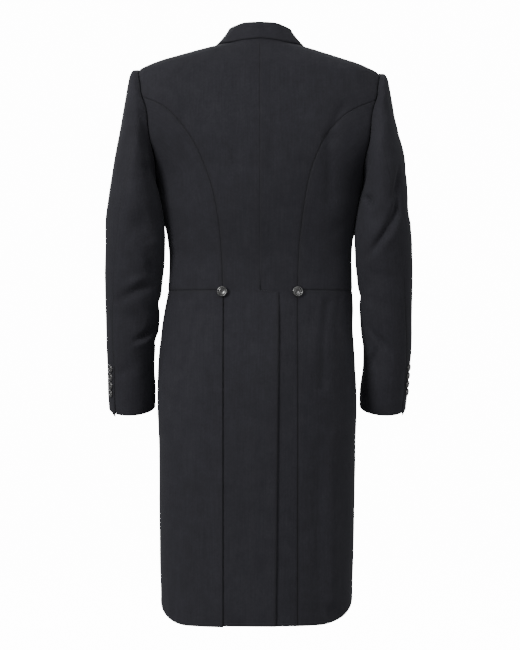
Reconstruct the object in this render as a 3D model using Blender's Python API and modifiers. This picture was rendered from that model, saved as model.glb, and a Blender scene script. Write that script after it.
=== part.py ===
"""Tailcoat for white tie, standing filled out as if worn, with its front open.

Metres, +Z up. The wearer faces -Y and the wearer's left is +X. The origin is where the
shoulders carry the coat: midway between them, under the centre back neck seam.
The body is a stack of level rings, read from BODY. A panel is a stretch of those rings
between two seams. Heights are given as a drop below the centre back neck seam.
"""
from bisect import bisect_right
from math import acos, asin, copysign, cos, exp, hypot, pi, radians, sin, sqrt

import bmesh
import bpy
from mathutils import Vector

# Driving sizes
CLOTH = 0.0014            # wall of every cloth piece
SEAM_GAP = 0.0003         # between neighbouring pieces along a seam
LAP = 0.0020              # how far a piece that lies on another is moved out
WAIST = 0.472             # drop of the waist seam
HEM = 1.0865              # drop of the hem at the back
ROUND = 2.3               # exponent of the rings: 2 is an ellipse, more is squarer
STEP = 0.0005             # step used to find how a surface faces

# Rings of the body: drop, half width behind and ahead, depth behind and ahead, sideways drift
BODY = [
    (0.0000, 0.0640, 0.0640, 0.055, 0.035, 0.0000),
    (0.0120, 0.0740, 0.0740, 0.060, 0.045, 0.0000),
    (0.0180, 0.0973, 0.0973, 0.064, 0.050, 0.0000),
    (0.0257, 0.1270, 0.1270, 0.069, 0.057, 0.0000),
    (0.0332, 0.1550, 0.1550, 0.074, 0.063, 0.0000),
    (0.0406, 0.1814, 0.1814, 0.079, 0.069, 0.0000),
    (0.0481, 0.2020, 0.2020, 0.084, 0.075, 0.0000),
    (0.0590, 0.2245, 0.2245, 0.089, 0.084, 0.0000),
    (0.0850, 0.2450, 0.2285, 0.097, 0.100, 0.0000),
    (0.1144, 0.2585, 0.2290, 0.104, 0.114, 0.0000),
    (0.1500, 0.2560, 0.2215, 0.109, 0.127, 0.0000),
    (0.1875, 0.2425, 0.2105, 0.113, 0.137, 0.0000),
    (0.2200, 0.2184, 0.2015, 0.113, 0.140, 0.0000),
    (0.2450, 0.2015, 0.1970, 0.112, 0.140, 0.0000),
    (0.2620, 0.1940, 0.1940, 0.111, 0.139, 0.0000),
    (0.3167, 0.1852, 0.1852, 0.104, 0.133, 0.0000),
    (0.3766, 0.1732, 0.1732, 0.095, 0.125, -0.0004),
    (0.4140, 0.1706, 0.1706, 0.090, 0.120, -0.0010),
    (0.4720, 0.1724, 0.1724, 0.088, 0.118, -0.0003),
    (0.5075, 0.1764, 0.1764, 0.094, 0.120, 0.0020),
    (0.5450, 0.1789, 0.1789, 0.104, 0.125, 0.0052),
    (0.6010, 0.1836, 0.1836, 0.118, 0.130, 0.0062),
    (0.6758, 0.1864, 0.1864, 0.125, 0.130, 0.0057),
    (0.7693, 0.1836, 0.1836, 0.123, 0.130, 0.0050),
    (0.8628, 0.1827, 0.1827, 0.120, 0.130, 0.0057),
    (0.9564, 0.1812, 0.1812, 0.117, 0.130, 0.0062),
    (1.0312, 0.1792, 0.1792, 0.115, 0.130, 0.0064),
    (1.1000, 0.1782, 0.1782, 0.114, 0.130, 0.0064),
]

# Armhole: an upright oval on the body, turned from the shoulder point towards the back
ARMHOLE_TOP = 0.0590
ARMHOLE_BOTTOM = 0.2620
ARMHOLE_BEHIND = 0.0720
ARMHOLE_AHEAD = 0.0620
BACK_SEAM_TURN = 63.0     # where the curved back seam leaves the armhole
UNDERARM_TURN = 208.0     # where the underarm seam leaves it

# Curved back seam from the armhole to the waist: drop, distance from the centre on each side
BACK_SEAM = [
    (0.1144, 0.2170, 0.2150),
    (0.1244, 0.1935, 0.1910),
    (0.1417, 0.1670, 0.1600),
    (0.1715, 0.1411, 0.1314),
    (0.2050, 0.1190, 0.1110),
    (0.2456, 0.1008, 0.0952),
    (0.2890, 0.0864, 0.0851),
    (0.3420, 0.0765, 0.0775),
    (0.4000, 0.0708, 0.0718),
    (WAIST, 0.0680, 0.0695),
]

# Front edge of the front: drop, distance from the centre
FRONT_EDGE = [
    (0.0120, 0.0740),
    (0.0180, 0.0738),
    (0.0300, 0.0735),
    (0.0550, 0.0725),
    (0.0850, 0.0712),
    (0.1300, 0.0705),
    (0.2000, 0.0720),
    (0.2800, 0.0755),
    (0.3600, 0.0805),
    (0.4200, 0.0870),
    (WAIST, 0.0950),
    (0.5000, 0.1000),
]
FRONT_TOP = 0.0135        # drop of the front's upper edge beside the neck
FRONT_POINT = 0.016       # how much lower the front reaches at its front corner

# Lapel: the roll line's ends, the notch, the tip, and the outer edge below the tip
ROLL_TOP = 0.0790
ROLL_END = 0.3720
NOTCH = (0.120, 0.0925)
NOTCH_SHARE = 0.55        # where the notch lies across the lapel's upper edge
LAPEL_EDGE = [
    (0.0700, 0.1600),
    (0.1100, 0.1565),
    (0.1600, 0.1490),
    (0.2150, 0.1380),
    (0.2750, 0.1220),
    (0.3300, 0.1030),
    (0.3680, 0.0875),
]

COLLAR_LIFT = 0.0040      # how far the collar's edge stands off the body
COLLAR_FOLD = 0.42        # share of the collar between its seam and its fold
COLLAR_ROLL = 0.0026      # radius of that fold

# Collar from the centre back (0) to its front end (1): fold x, y, drop; edge x, drop; bow
COLLAR = [
    (0.00, 0.0000, 0.0505, -0.0256, 0.0000, 0.0060, 0.0025),
    (0.20, 0.0260, 0.0465, -0.0248, 0.0345, 0.0096, 0.0025),
    (0.38, 0.0445, 0.0340, -0.0205, 0.0605, 0.0140, 0.0030),
    (0.50, 0.0560, 0.0140, -0.0168, 0.0770, 0.0132, -0.0010),
    (0.60, 0.0590, -0.0080, -0.0128, 0.0910, 0.0195, -0.0030),
    (0.72, 0.0600, -0.0330, 0.0010, 0.1110, 0.0370, 0.0000),
    (0.85, 0.0650, -0.0590, 0.0330, 0.1190, 0.0600, 0.0020),
    (1.00, 0.0695, -0.0820, 0.0760, 0.1210, 0.0895, 0.0030),
]

# Side tails: drop, turn of the front edge from the wearer's side towards the front
TAIL_FRONT = [
    (WAIST, -36.0),
    (0.550, -27.0),
    (0.650, -19.0),
    (0.750, -13.0),
    (0.850, -8.0),
    (0.950, -4.0),
    (1.100, -0.5),
]
PLEAT_EDGE = {1: 0.0672, -1: 0.0680}
# Hem of the side tails: how far below the back hem it starts, where it starts to rise, how far
HEM_RISE = {1: (0.0015, 0.36, 0.041), -1: (-0.0005, 0.22, 0.045)}
TAIL_DROPS = [0.483, 0.495, 0.508, 0.523, 0.541, 0.565, 0.594, 0.628, 0.670, 0.730, 0.800, 0.890, 0.980, 1.045]
UNDERLAY = 0.092                    # how far the back panel runs under the side tail
FLAP = 0.0348                       # how far the left back laps over the right one
FLAP_HEM = 0.0285
FLAP_STAND = 0.0042                 # how far the flap's free edge stands off

# Sleeve sections: place along the sleeve, then outer x and drop, inner x and drop,
# middle y, half depth, forward lean, and how far the seams have turned (degrees)
SLEEVE = [
    (0, 0.2245, 0.0590, 0.1925, 0.2620, 0.005, 0.0670, 0.00, 0),
    (1, 0.2362, 0.0602, 0.1938, 0.2628, 0.005, 0.0710, 0.00, 0),
    (2, 0.2428, 0.0690, 0.1942, 0.2660, 0.006, 0.0745, 0.00, 0),
    (3, 0.2472, 0.0900, 0.1940, 0.2710, 0.008, 0.0770, 0.00, 1),
    (4, 0.2525, 0.1222, 0.1923, 0.2770, 0.013, 0.0780, 0.00, 3),
    (5, 0.2600, 0.1680, 0.1901, 0.2850, 0.018, 0.0770, 0.00, 6),
    (6, 0.2690, 0.2160, 0.1878, 0.2950, 0.023, 0.0750, 0.00, 9),
    (7, 0.2768, 0.2644, 0.1850, 0.3080, 0.026, 0.0725, 0.00, 13),
    (8, 0.2824, 0.3018, 0.1818, 0.3240, 0.028, 0.0700, 0.00, 17),
    (9, 0.2870, 0.3392, 0.1785, 0.3460, 0.027, 0.0670, 0.00, 21),
    (10, 0.2880, 0.3766, 0.1762, 0.3766, 0.024, 0.0640, 0.02, 25),
    (11, 0.2890, 0.4140, 0.1772, 0.4140, 0.019, 0.0615, 0.04, 29),
    (12, 0.2895, 0.4514, 0.1813, 0.4514, 0.012, 0.0595, 0.07, 32),
    (13, 0.2890, 0.4900, 0.1850, 0.4900, 0.006, 0.0580, 0.10, 35),
    (14, 0.2880, 0.5450, 0.1893, 0.5450, -0.003, 0.0560, 0.14, 38),
    (15, 0.2875, 0.5820, 0.1960, 0.5820, -0.010, 0.0548, 0.18, 40),
    (16, 0.2862, 0.6197, 0.1980, 0.6197, -0.018, 0.0538, 0.22, 42),
    (17, 0.2866, 0.6570, 0.1960, 0.6570, -0.027, 0.0528, 0.25, 43),
    (18, 0.2844, 0.6930, 0.1972, 0.6900, -0.036, 0.0520, 0.27, 44),
]
SLEEVE_END = SLEEVE[-1][0]
HIND_SEAM_TURN = 81.0     # turn of the sleeve's seam behind the arm

# Soft folds of the body: side, x and drop of the upper end, x and drop of the lower end,
# half width, depth (negative is a trough)
FOLDS = [
    (1, 0.142, 0.492, 0.164, 0.680, 0.011, -0.0030),
    (1, 0.109, 0.508, 0.136, 0.620, 0.010, -0.0024),
    (1, 0.122, 0.500, 0.150, 0.660, 0.010, 0.0024),
    (-1, 0.126, 0.500, 0.120, 0.650, 0.010, -0.0028),
    (-1, 0.138, 0.740, 0.138, 1.040, 0.013, 0.0040),
    (-1, 0.112, 0.760, 0.114, 1.060, 0.012, -0.0024),
    (1, 0.120, 0.760, 0.126, 1.050, 0.018, 0.0026),
    (-1, 0.150, 0.135, 0.122, 0.190, 0.008, -0.0030),
    (-1, 0.130, 0.190, 0.128, 0.300, 0.011, -0.0030),
    (1, 0.140, 0.200, 0.132, 0.300, 0.012, -0.0020),
    (1, 0.040, 0.060, 0.045, 0.240, 0.012, -0.0016),
    (-1, 0.022, 0.060, 0.024, 0.240, 0.010, -0.0016),
]

# Creases of the sleeves: side, turn and drop of one end, turn and drop of the other end,
# half width, depth
CREASES = [
    (1, 60, 0.510, 118, 0.445, 0.010, -0.0050),
    (1, 40, 0.545, 130, 0.575, 0.011, -0.0045),
    (1, 70, 0.478, 130, 0.440, 0.008, 0.0030),
    (1, 95, 0.290, 105, 0.350, 0.014, -0.0045),
    (-1, 20, 0.318, 110, 0.395, 0.010, -0.0050),
    (-1, 50, 0.315, 125, 0.365, 0.009, 0.0030),
    (-1, 60, 0.555, 100, 0.590, 0.009, -0.0040),
    (-1, 105, 0.585, 70, 0.620, 0.008, -0.0035),
    (-1, 0, 0.290, 0, 0.345, 0.022, -0.0056),
    (-1, 0, 0.170, 0, 0.250, 0.026, 0.0048),
    (1, 150, 0.470, 210, 0.500, 0.012, -0.0030),
    (-1, 150, 0.470, 210, 0.500, 0.012, -0.0030),
    (1, 250, 0.440, 300, 0.470, 0.014, -0.0035),
    (-1, 250, 0.440, 300, 0.470, 0.014, -0.0035),
]
SLEEVE_RADIUS = 0.052     # turns a crease's angle into a distance

# The wearer's right shoulder stands lower and closer than the left one
RIGHT_DROP = 0.0065
RIGHT_TUCK = 0.0045
RIGHT_CUFF_IN = 0.0095    # how much closer the right cuff hangs
LEFT_CUFF_TURN = 10.0     # degrees that the left cuff is turned further back

# Buttons: radius and thickness, and how far their base lies off the cloth
BACK_BUTTON = (0.0100, 0.0042)
CUFF_BUTTON = (0.0071, 0.0034)
FRONT_BUTTON = (0.0100, 0.0042)
BUTTON_SEAT = 0.0003
BACK_BUTTON_X = 0.0688                # on the pleat, just below the waist seam
BACK_BUTTON_DROP = WAIST + 0.0025
BACK_BUTTON_LIFT = LAP + 0.0009       # it sits on the side tail
CUFF_BUTTON_PLACE = 15.75             # the highest one along the sleeve, and the spacing
CUFF_BUTTON_STEP = 0.405
CUFF_BUTTON_TURN = HIND_SEAM_TURN - 11.4
FRONT_BUTTONS = [(0.1210, 0.388), (0.1195, 0.420), (0.1180, 0.452)]     # distance and drop

# Turned section of a button, from the middle of its face round to the middle of its base
BUTTON_SECTION = [
    (0.00, 0.62), (0.42, 0.55), (0.62, 0.62), (0.76, 0.92), (0.86, 1.00),
    (0.96, 0.86), (1.00, 0.55), (0.93, 0.12), (0.80, 0.00), (0.00, 0.00),
]
BUTTON_SIDES = 12

WOOL = ((0.030, 0.031, 0.035), 0.85)
SILK = ((0.018, 0.018, 0.020), 0.38)
BUTTON_BLACK = ((0.008, 0.008, 0.009), 0.12)


class Track:
    """The columns of a table, read smoothly between its rows by the first column."""

    def __init__(self, rows):
        self.keys = [row[0] for row in rows]
        self.columns = [[row[i] for row in rows] for i in range(1, len(rows[0]))]
        self.slopes = [self.level(column) for column in self.columns]

    def level(self, column):
        keys = self.keys
        rises = [(column[i + 1] - column[i]) / (keys[i + 1] - keys[i]) for i in range(len(keys) - 1)]
        slopes = [rises[0]]
        for before, after in zip(rises, rises[1:]):
            slopes.append(2 * before * after / (before + after) if before * after > 0 else 0.0)
        return slopes + [rises[-1]]

    def read(self, key):
        keys = self.keys
        i = min(max(bisect_right(keys, key) - 1, 0), len(keys) - 2)
        span = keys[i + 1] - keys[i]
        u = min(max((key - keys[i]) / span, 0.0), 1.0)
        found = []
        for column, slopes in zip(self.columns, self.slopes):
            start, end = column[i], column[i + 1]
            found.append(start * (1 + 2 * u) * (1 - u) ** 2 + end * u * u * (3 - 2 * u)
                         + span * u * (1 - u) * (slopes[i] * (1 - u) - slopes[i + 1] * u))
        return found


body_track = Track(BODY)
back_seam_track = Track(BACK_SEAM)
front_edge_track = Track(FRONT_EDGE)
lapel_track = Track(LAPEL_EDGE)
collar_track = Track(COLLAR)
tail_track = Track(TAIL_FRONT)
sleeve_track = Track(SLEEVE)


def smooth(u):
    u = min(max(u, 0.0), 1.0)
    return u * u * (3 - 2 * u)


def mix(start, end, share):
    return start + (end - start) * share


def crease(x, y, ends, width, depth):
    """Height of one soft fold at a point: a rounded line between two ends."""
    ax, ay, bx, by = ends
    length = hypot(bx - ax, by - ay)
    along = min(max(((x - ax) * (bx - ax) + (y - ay) * (by - ay)) / length ** 2, 0.0), 1.0)
    away = hypot(x - mix(ax, bx, along), y - mix(ay, by, along))
    return depth * exp(-(away / width) ** 2) if away < 3 * width else 0.0


def settle(point):
    """Lower and tuck in the wearer's right shoulder, as the coat stands."""
    out = -point.x
    if out <= 0:
        return point
    low = RIGHT_DROP * smooth(out / 0.21) * smooth((0.50 + point.z) / 0.25)
    tuck = RIGHT_TUCK * smooth((out - 0.17) / 0.07) * smooth((0.62 + point.z) / 0.12)
    return Vector((point.x + tuck, point.y, point.z - low))


def ring(drop, ahead):
    """Half width, depth and drift of the body's ring at a drop, on its back or front half."""
    half_behind, half_ahead, deep_behind, deep_ahead, drift = body_track.read(drop)
    return (half_ahead, deep_ahead, drift) if ahead else (half_behind, deep_behind, drift)


def body(side, turn, drop):
    """A point of the body's outer surface. Turn is 0 at the side and 90 at the centre back."""
    along, deep = cos(turn), sin(turn)
    half, depth, drift = ring(drop, deep < 0)
    x = copysign(abs(along) ** (2 / ROUND), along)
    y = copysign(abs(deep) ** (2 / ROUND), deep)
    point = Vector((drift + side * half * x, y * depth, -drop))
    if deep > 0:
        rise = sum(crease(side * (point.x - drift), drop, fold[1:5], fold[5], fold[6])
                   for fold in FOLDS if fold[0] == side)
        if rise:
            facing = Vector((side * x / half, y / depth, 0)).normalized()
            point += facing * rise
    return settle(point)


def turn_at(side, x, drop, ahead=False):
    """The turn at which a ring reaches a distance from the centre line."""
    half, _, drift = ring(drop, ahead)
    share = (x - side * drift) / half
    turn = acos(copysign(min(abs(share), 1.0) ** (ROUND / 2), share))
    return -turn if ahead else turn


def armhole(turn):
    """Turn and drop on the body of a point of the armhole."""
    middle = (ARMHOLE_TOP + ARMHOLE_BOTTOM) / 2
    drop = middle - (ARMHOLE_BOTTOM - ARMHOLE_TOP) / 2 * cos(turn)
    deep = sin(turn)
    reach = ARMHOLE_BEHIND if deep > 0 else -ARMHOLE_AHEAD
    share = reach * deep / ring(drop, deep < 0)[1]
    return copysign(asin(share ** (ROUND / 2)), deep) if share > 1e-9 else 0.0, drop


def sleeve(side, turn, place):
    """A point of a sleeve's outer surface. Turn is 0 at the outside and 90 behind."""
    outer_x, outer_drop, inner_x, inner_drop, middle, deep, lean, twist = sleeve_track.read(place)
    around = turn - radians(twist)
    if side > 0:
        around += radians(LEFT_CUFF_TURN) * smooth((place - 13.5) / 2.5)
    half_x, half_drop = (outer_x - inner_x) / 2, (outer_drop - inner_drop) / 2
    x = inner_x + half_x + half_x * cos(around)
    drop = inner_drop + half_drop + half_drop * cos(around) + lean * deep * sin(around)
    y = middle + deep * sin(around)
    rise = 0.0
    for fold in CREASES:
        if fold[0] == side:
            middle_turn = radians(fold[1] + fold[3]) / 2
            reach = radians(fold[3] - fold[1]) / 2 * SLEEVE_RADIUS
            away = ((around - middle_turn + pi) % (2 * pi) - pi) * SLEEVE_RADIUS
            rise += crease(away, drop, (-reach, fold[2], reach, fold[4]), fold[5], fold[6])
    x += rise * cos(around)
    y += rise * sin(around)
    if side < 0:
        x -= RIGHT_CUFF_IN * smooth((place - 13.5) / 4.5)
    if place < 2:
        on_body = armhole(turn % (2 * pi))
        fixed = body(1, *on_body)
        ring = SLEEVE[0]
        own = Vector((mix(ring[3], ring[1], 0.5 + 0.5 * cos(turn)), ring[5] + ring[6] * sin(turn),
                      -mix(ring[4], ring[2], 0.5 + 0.5 * cos(turn))))
        shift = (fixed - own) * (1 - place / 2) ** 2
        x, y, drop = x + shift.x, y + shift.y, drop - shift.z
    return settle(Vector((side * x, y, -drop)))


def raised(surface, side, u, v, lift):
    """A point moved out from a surface, along the way that the surface faces there."""
    across = surface(side, u + STEP, v) - surface(side, u - STEP, v)
    down = surface(side, u, v + STEP) - surface(side, u, v - STEP)
    facing = down.cross(across).normalized() * side
    return surface(side, u, v) + facing * lift


def slab(name, columns, rows, place, finish):
    """A cloth wall: a flat slab of cells, bent so that place gives each corner.

    Columns and rows list the stops across and down the piece. Place takes a stop of
    each and 0 for the inner face or 1 for the outer face.
    """
    mesh = bmesh.new()
    bmesh.ops.create_grid(mesh, x_segments=len(columns) - 1, y_segments=len(rows) - 1, size=0.5)
    grown = bmesh.ops.extrude_face_region(mesh, geom=mesh.faces[:], use_keep_orig=True)
    outer = [vert for vert in grown["geom"] if isinstance(vert, bmesh.types.BMVert)]
    bmesh.ops.translate(mesh, verts=outer, vec=(0, 0, 1))
    bmesh.ops.recalc_face_normals(mesh, faces=mesh.faces)
    for vert in mesh.verts:
        column = columns[round((vert.co.x + 0.5) * (len(columns) - 1))]
        row = rows[round((vert.co.y + 0.5) * (len(rows) - 1))]
        vert.co = place(column, row, vert.co.z)
    if mesh.calc_volume(signed=True) < 0:
        bmesh.ops.reverse_faces(mesh, faces=mesh.faces)
    return keep(name, mesh, finish)


def keep(name, mesh, finish):
    data = bpy.data.meshes.new(name)
    mesh.to_mesh(data)
    mesh.free()
    data.shade_smooth()
    data.set_sharp_from_angle(angle=radians(40))
    piece = bpy.data.objects.new(name, data)
    piece.data.materials.append(finish)
    coat.objects.link(piece)
    return piece


def seam_inset(surface, side, at, s, t, ends):
    """Move a point on a panel's edge into the panel by half a seam gap."""
    def spot(a, b):
        return surface(side, *at(a, b))

    low_s, high_s, low_t, high_t = ends
    short_s, short_t = 0.02 * (high_s - low_s), 0.02 * (high_t - low_t)
    across = (spot(min(s + short_s, high_s), t) - spot(max(s - short_s, low_s), t))
    across /= min(s + short_s, high_s) - max(s - short_s, low_s)
    down = (spot(s, min(t + short_t, high_t)) - spot(s, max(t - short_t, low_t)))
    down /= min(t + short_t, high_t) - max(t - short_t, low_t)
    area = across.cross(down).length
    inward_s = (s == low_s) - (s == high_s)
    inward_t = (t == low_t) - (t == high_t)
    moved_s = s + inward_s * SEAM_GAP / 2 * down.length / area
    moved_t = t + inward_t * SEAM_GAP / 2 * across.length / area
    return at(moved_s, moved_t)


def panel(name, side, columns, rows, at, finish, surface=body, lift=None):
    """A panel cut from a surface. At gives the surface's own place for a stop of each kind."""
    ends = (columns[0], columns[-1], rows[0], rows[-1])

    def place(s, t, face):
        u, v = seam_inset(surface, side, at, s, t, ends)
        out = lift(side, u, v) if lift else 0.0
        return raised(surface, side, u, v, out - CLOTH * (1 - face))
    return slab(name, columns, rows, place, finish)


def even(start, end, count):
    return [mix(start, end, i / count) for i in range(count + 1)]


# Rows of a panel count along its outer edge: shoulder seam, armhole, then the long seam
SHOULDER_ROWS, ARMHOLE_ROWS, SEAM_ROWS = 4, 4, 9
SEAM_START = SHOULDER_ROWS + ARMHOLE_ROWS
SEAM_END = SEAM_START + SEAM_ROWS
FRONT_ARMHOLE_ROWS = 8


def back_seam(side, share):
    """Turn and drop along the curved back seam, from the armhole (0) to the waist (1)."""
    row = min(max(share, 0.0), 1.0) * SEAM_ROWS
    first = min(int(row), SEAM_ROWS - 1)
    column = 0 if side > 0 else 1
    if first == 0:
        start_turn, start_drop = armhole(radians(BACK_SEAM_TURN))
        drop = BACK_SEAM[1][0]
        end_turn = turn_at(side, BACK_SEAM[1][1 + column], drop)
        return mix(start_turn, end_turn, row), mix(start_drop, drop, row)
    drop = mix(BACK_SEAM[first][0], BACK_SEAM[first + 1][0], row - first)
    return turn_at(side, back_seam_track.read(drop)[column], drop), drop


def underarm_seam(share):
    start_turn, start_drop = armhole(radians(UNDERARM_TURN))
    return mix(start_turn, radians(-14), share), mix(start_drop, WAIST, share)


def back_outer(side, row):
    """Turn and drop of the back panel's outer edge, row by row. The tail is the last row."""
    if row <= SHOULDER_ROWS:
        return 0.0, mix(BODY[1][0], ARMHOLE_TOP, row / SHOULDER_ROWS)
    if row <= SEAM_START:
        return armhole(radians(BACK_SEAM_TURN) * (row - SHOULDER_ROWS) / ARMHOLE_ROWS)
    if row <= SEAM_END:
        return back_seam(side, (row - SEAM_START) / SEAM_ROWS)
    drop = mix(WAIST, HEM, row - SEAM_END)
    return turn_at(side, UNDERLAY, drop), drop


def back_at(side):
    """The back panel: 0 is its centre edge and 1 its outer edge."""
    def at(s, row):
        turn, drop = back_outer(side, row)
        inner = 0.0
        if side > 0 and row > SEAM_END:
            inner = -mix(FLAP, FLAP_HEM, row - SEAM_END)
        start = turn_at(side, inner, drop)
        angle = mix(start, turn, s)
        if row < SHOULDER_ROWS:
            rise = BODY[1][0] * sin(angle) ** 2
            drop -= rise * (1 - row / SHOULDER_ROWS) ** 2
        return angle, drop
    return at


def flap_lift(side, turn, drop):
    """The left back rises over the right one where its vent flap laps it."""
    x = side * body(side, turn, drop).x
    stand = mix(LAP, FLAP_STAND, smooth(-x / FLAP) * smooth((drop - WAIST) / 0.060))
    return stand * smooth((0.032 - x) / 0.028) * smooth((drop - 0.435) / 0.035)


def side_at(side):
    """The side body: 0 is the curved back seam and 1 the underarm seam."""
    def top(s):
        return Vector(armhole(radians(mix(BACK_SEAM_TURN, UNDERARM_TURN, s))))

    def at(s, t):
        left, right = Vector(back_seam(side, t)), Vector(underarm_seam(t))
        upper = top(s)
        lower = mix(Vector(back_seam(side, 1)), Vector(underarm_seam(1)), s)
        corners = mix(mix(top(0), top(1), s), lower, t)
        place = mix(left, right, s) + mix(upper, lower, t) - corners
        return place.x, place.y
    return at


def front_outer(row):
    """Turn and drop of the front's outer edge, row by row."""
    if row <= SHOULDER_ROWS:
        return 0.0, mix(FRONT_TOP, ARMHOLE_TOP, row / SHOULDER_ROWS)
    if row <= SHOULDER_ROWS + FRONT_ARMHOLE_ROWS:
        share = (row - SHOULDER_ROWS) / FRONT_ARMHOLE_ROWS
        return armhole(radians(mix(359.99, UNDERARM_TURN, share)))
    return underarm_seam((row - SHOULDER_ROWS - FRONT_ARMHOLE_ROWS) / SEAM_ROWS)


def front_at(side):
    """The front: 0 is its front edge and 1 its outer edge."""
    def at(s, row):
        turn, drop = front_outer(row)
        start = turn_at(side, front_edge_track.read(drop)[0], drop, ahead=True)
        angle = mix(start, turn, s)
        low = smooth((-angle - radians(39)) / radians(26))
        share = max(0.0, (row - SHOULDER_ROWS - FRONT_ARMHOLE_ROWS) / SEAM_ROWS)
        return angle, drop + FRONT_POINT * low * share ** 3
    return at


def skirt_at(side):
    """The side tail: 0 is the pleat edge and 1 the front edge."""
    below, start_share, rise = HEM_RISE[side]

    def at(s, t):
        bend = max(0.0, (s - start_share) / (1 - start_share))
        hem = HEM + below - rise * bend ** 1.7
        drop = mix(WAIST, hem, t)
        start = turn_at(side, PLEAT_EDGE[side], drop)
        return mix(start, radians(tail_track.read(drop)[0]), s), drop
    return at


def skirt_lift(side, turn, drop):
    """The side tail lies over the back panel's underlay and comes down to the body past it."""
    x = side * body(side, turn, drop).x
    return LAP * smooth((0.140 - x) / 0.042) if turn > 0 else 0.0


def lapel_at(side):
    """The lapel on the front: 0 is the roll line and 1 the outer edge."""
    def at(s, t):
        roll_drop = mix(ROLL_TOP, ROLL_END, t)
        edge_drop = mix(LAPEL_EDGE[0][0], LAPEL_EDGE[-1][0], t)
        corner_x = front_edge_track.read(ROLL_TOP)[0]
        if s < NOTCH_SHARE:
            share = s / NOTCH_SHARE
            top_x, top_drop = mix(corner_x, NOTCH[0], share), mix(ROLL_TOP, NOTCH[1], share)
        else:
            share = (s - NOTCH_SHARE) / (1 - NOTCH_SHARE)
            top_x, top_drop = mix(NOTCH[0], LAPEL_EDGE[0][1], share), mix(NOTCH[1], LAPEL_EDGE[0][0], share)
        plain_x = mix(corner_x, LAPEL_EDGE[0][1], s)
        plain_drop = mix(ROLL_TOP, LAPEL_EDGE[0][0], s)
        fade = (1 - t) ** 2
        x = mix(front_edge_track.read(roll_drop)[0], lapel_track.read(edge_drop)[0], s)
        x += (top_x - plain_x) * fade
        drop = mix(roll_drop, edge_drop, s) + (top_drop - plain_drop) * fade
        return turn_at(side, x, drop, ahead=True), drop
    return at


def lapel(name, side, columns, rows, finish):
    """Columns below 0 are the roll: -1 is a quarter turn round the front's edge, -2 runs inward."""
    at = lapel_at(side)

    def place(s, t, face):
        u, v = at(max(s, 0.0), t)
        out = LAP - CLOTH * (1 - face)
        if s >= 0:
            return raised(body, side, u, v, out)
        edge = raised(body, side, u, v, 0.0)
        up = raised(body, side, u, v, 1.0) - edge
        inward = (body(side, u - 1e-3, v) - body(side, u, v)).normalized()
        angle = radians(90) * min(-s, 1.0)
        deeper = max(-s - 1, 0.0) * CLOTH
        return edge + up * (out * cos(angle) - deeper) + inward * (out * sin(angle))
    return slab(name, columns, rows, place, finish)


def collar_points(q):
    """At a place along the collar: the side, its seam, its fold, its edge and how far its fall bows out."""
    side = 1 if q >= 0 else -1
    q = abs(q)
    fold_x, fold_y, fold_drop, edge_x, edge_drop, bow = collar_track.read(q)
    half_cloth = CLOTH / 2
    if q <= 0.5:
        angle = radians(90) * (1 - q / 0.5)
        drop = BODY[1][0] * cos(angle) ** 2
        seam = raised(body, side, angle, drop, -half_cloth)
    else:
        drop = mix(BODY[1][0], ROLL_TOP - 0.003, (q - 0.5) / 0.5)
        share = smooth((q - 0.5) / 0.05)
        angle = turn_at(side, front_edge_track.read(drop)[0], drop, ahead=True) * share
        seam = raised(body, side, angle, drop, -half_cloth)
    seam = seam + Vector((-side * 0.0024 * smooth((q - 0.42) / 0.1), 0, 0.0004 + 0.0010 * (1 - smooth(q / 0.5))))
    fold = settle(Vector((side * fold_x, fold_y, -fold_drop)))
    edge_turn = turn_at(side, edge_x, edge_drop, ahead=True)
    back_turn = turn_at(side, edge_x, edge_drop)
    crossing = smooth((q - 0.42) / 0.14)
    edge = raised(body, side, mix(back_turn, edge_turn, crossing), edge_drop, COLLAR_LIFT)
    return side, seam, fold, edge, bow


def collar_surface(across, q):
    """A point of the collar's middle surface: across is 0 at its seam and 1 at its edge."""
    side, seam, fold, edge, bow = collar_points(q)
    way = (edge - seam).normalized()
    up = (fold - (seam + edge) / 2).normalized()
    if across < COLLAR_FOLD:
        share = across / COLLAR_FOLD
        bulge = COLLAR_ROLL * sin(pi / 2 * share) ** 2 * (1 - share) * 2
        return mix(seam, fold, share) - way * bulge
    share = (across - COLLAR_FOLD) / (1 - COLLAR_FOLD)
    swell = COLLAR_ROLL * 6 * share * max(0.0, 1 - share * 2.2) ** 2
    point = mix(fold, edge, share) + (up + way * 0.4) * (4 * bow * share * (1 - share) + swell)
    if abs(q) > 0.6:
        under = body(side, turn_at(side, abs(point.x), -point.z, ahead=True), -point.z)
        point.y = min(point.y, under.y - LAP * 1.5)
    return point


def collar(name, columns, rows, finish):
    def place(across, q, face):
        step = 0.004
        a0, a1 = max(across - step, 0.0), min(across + step, 1.0)
        q0, q1 = max(q - step, -1.0), min(q + step, 1.0)
        run = collar_surface(a1, q) - collar_surface(a0, q)
        along = collar_surface(across, q1) - collar_surface(across, q0)
        facing = run.cross(along).normalized()
        return collar_surface(across, q) + facing * CLOTH * (face - 0.5)
    return slab(name, columns, rows, place, finish)


def sleeve_half(name, side, turns, rows, finish):
    def at(turn, row):
        return turn, row
    return panel(name, side, turns, rows, at, finish, surface=sleeve)


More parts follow.
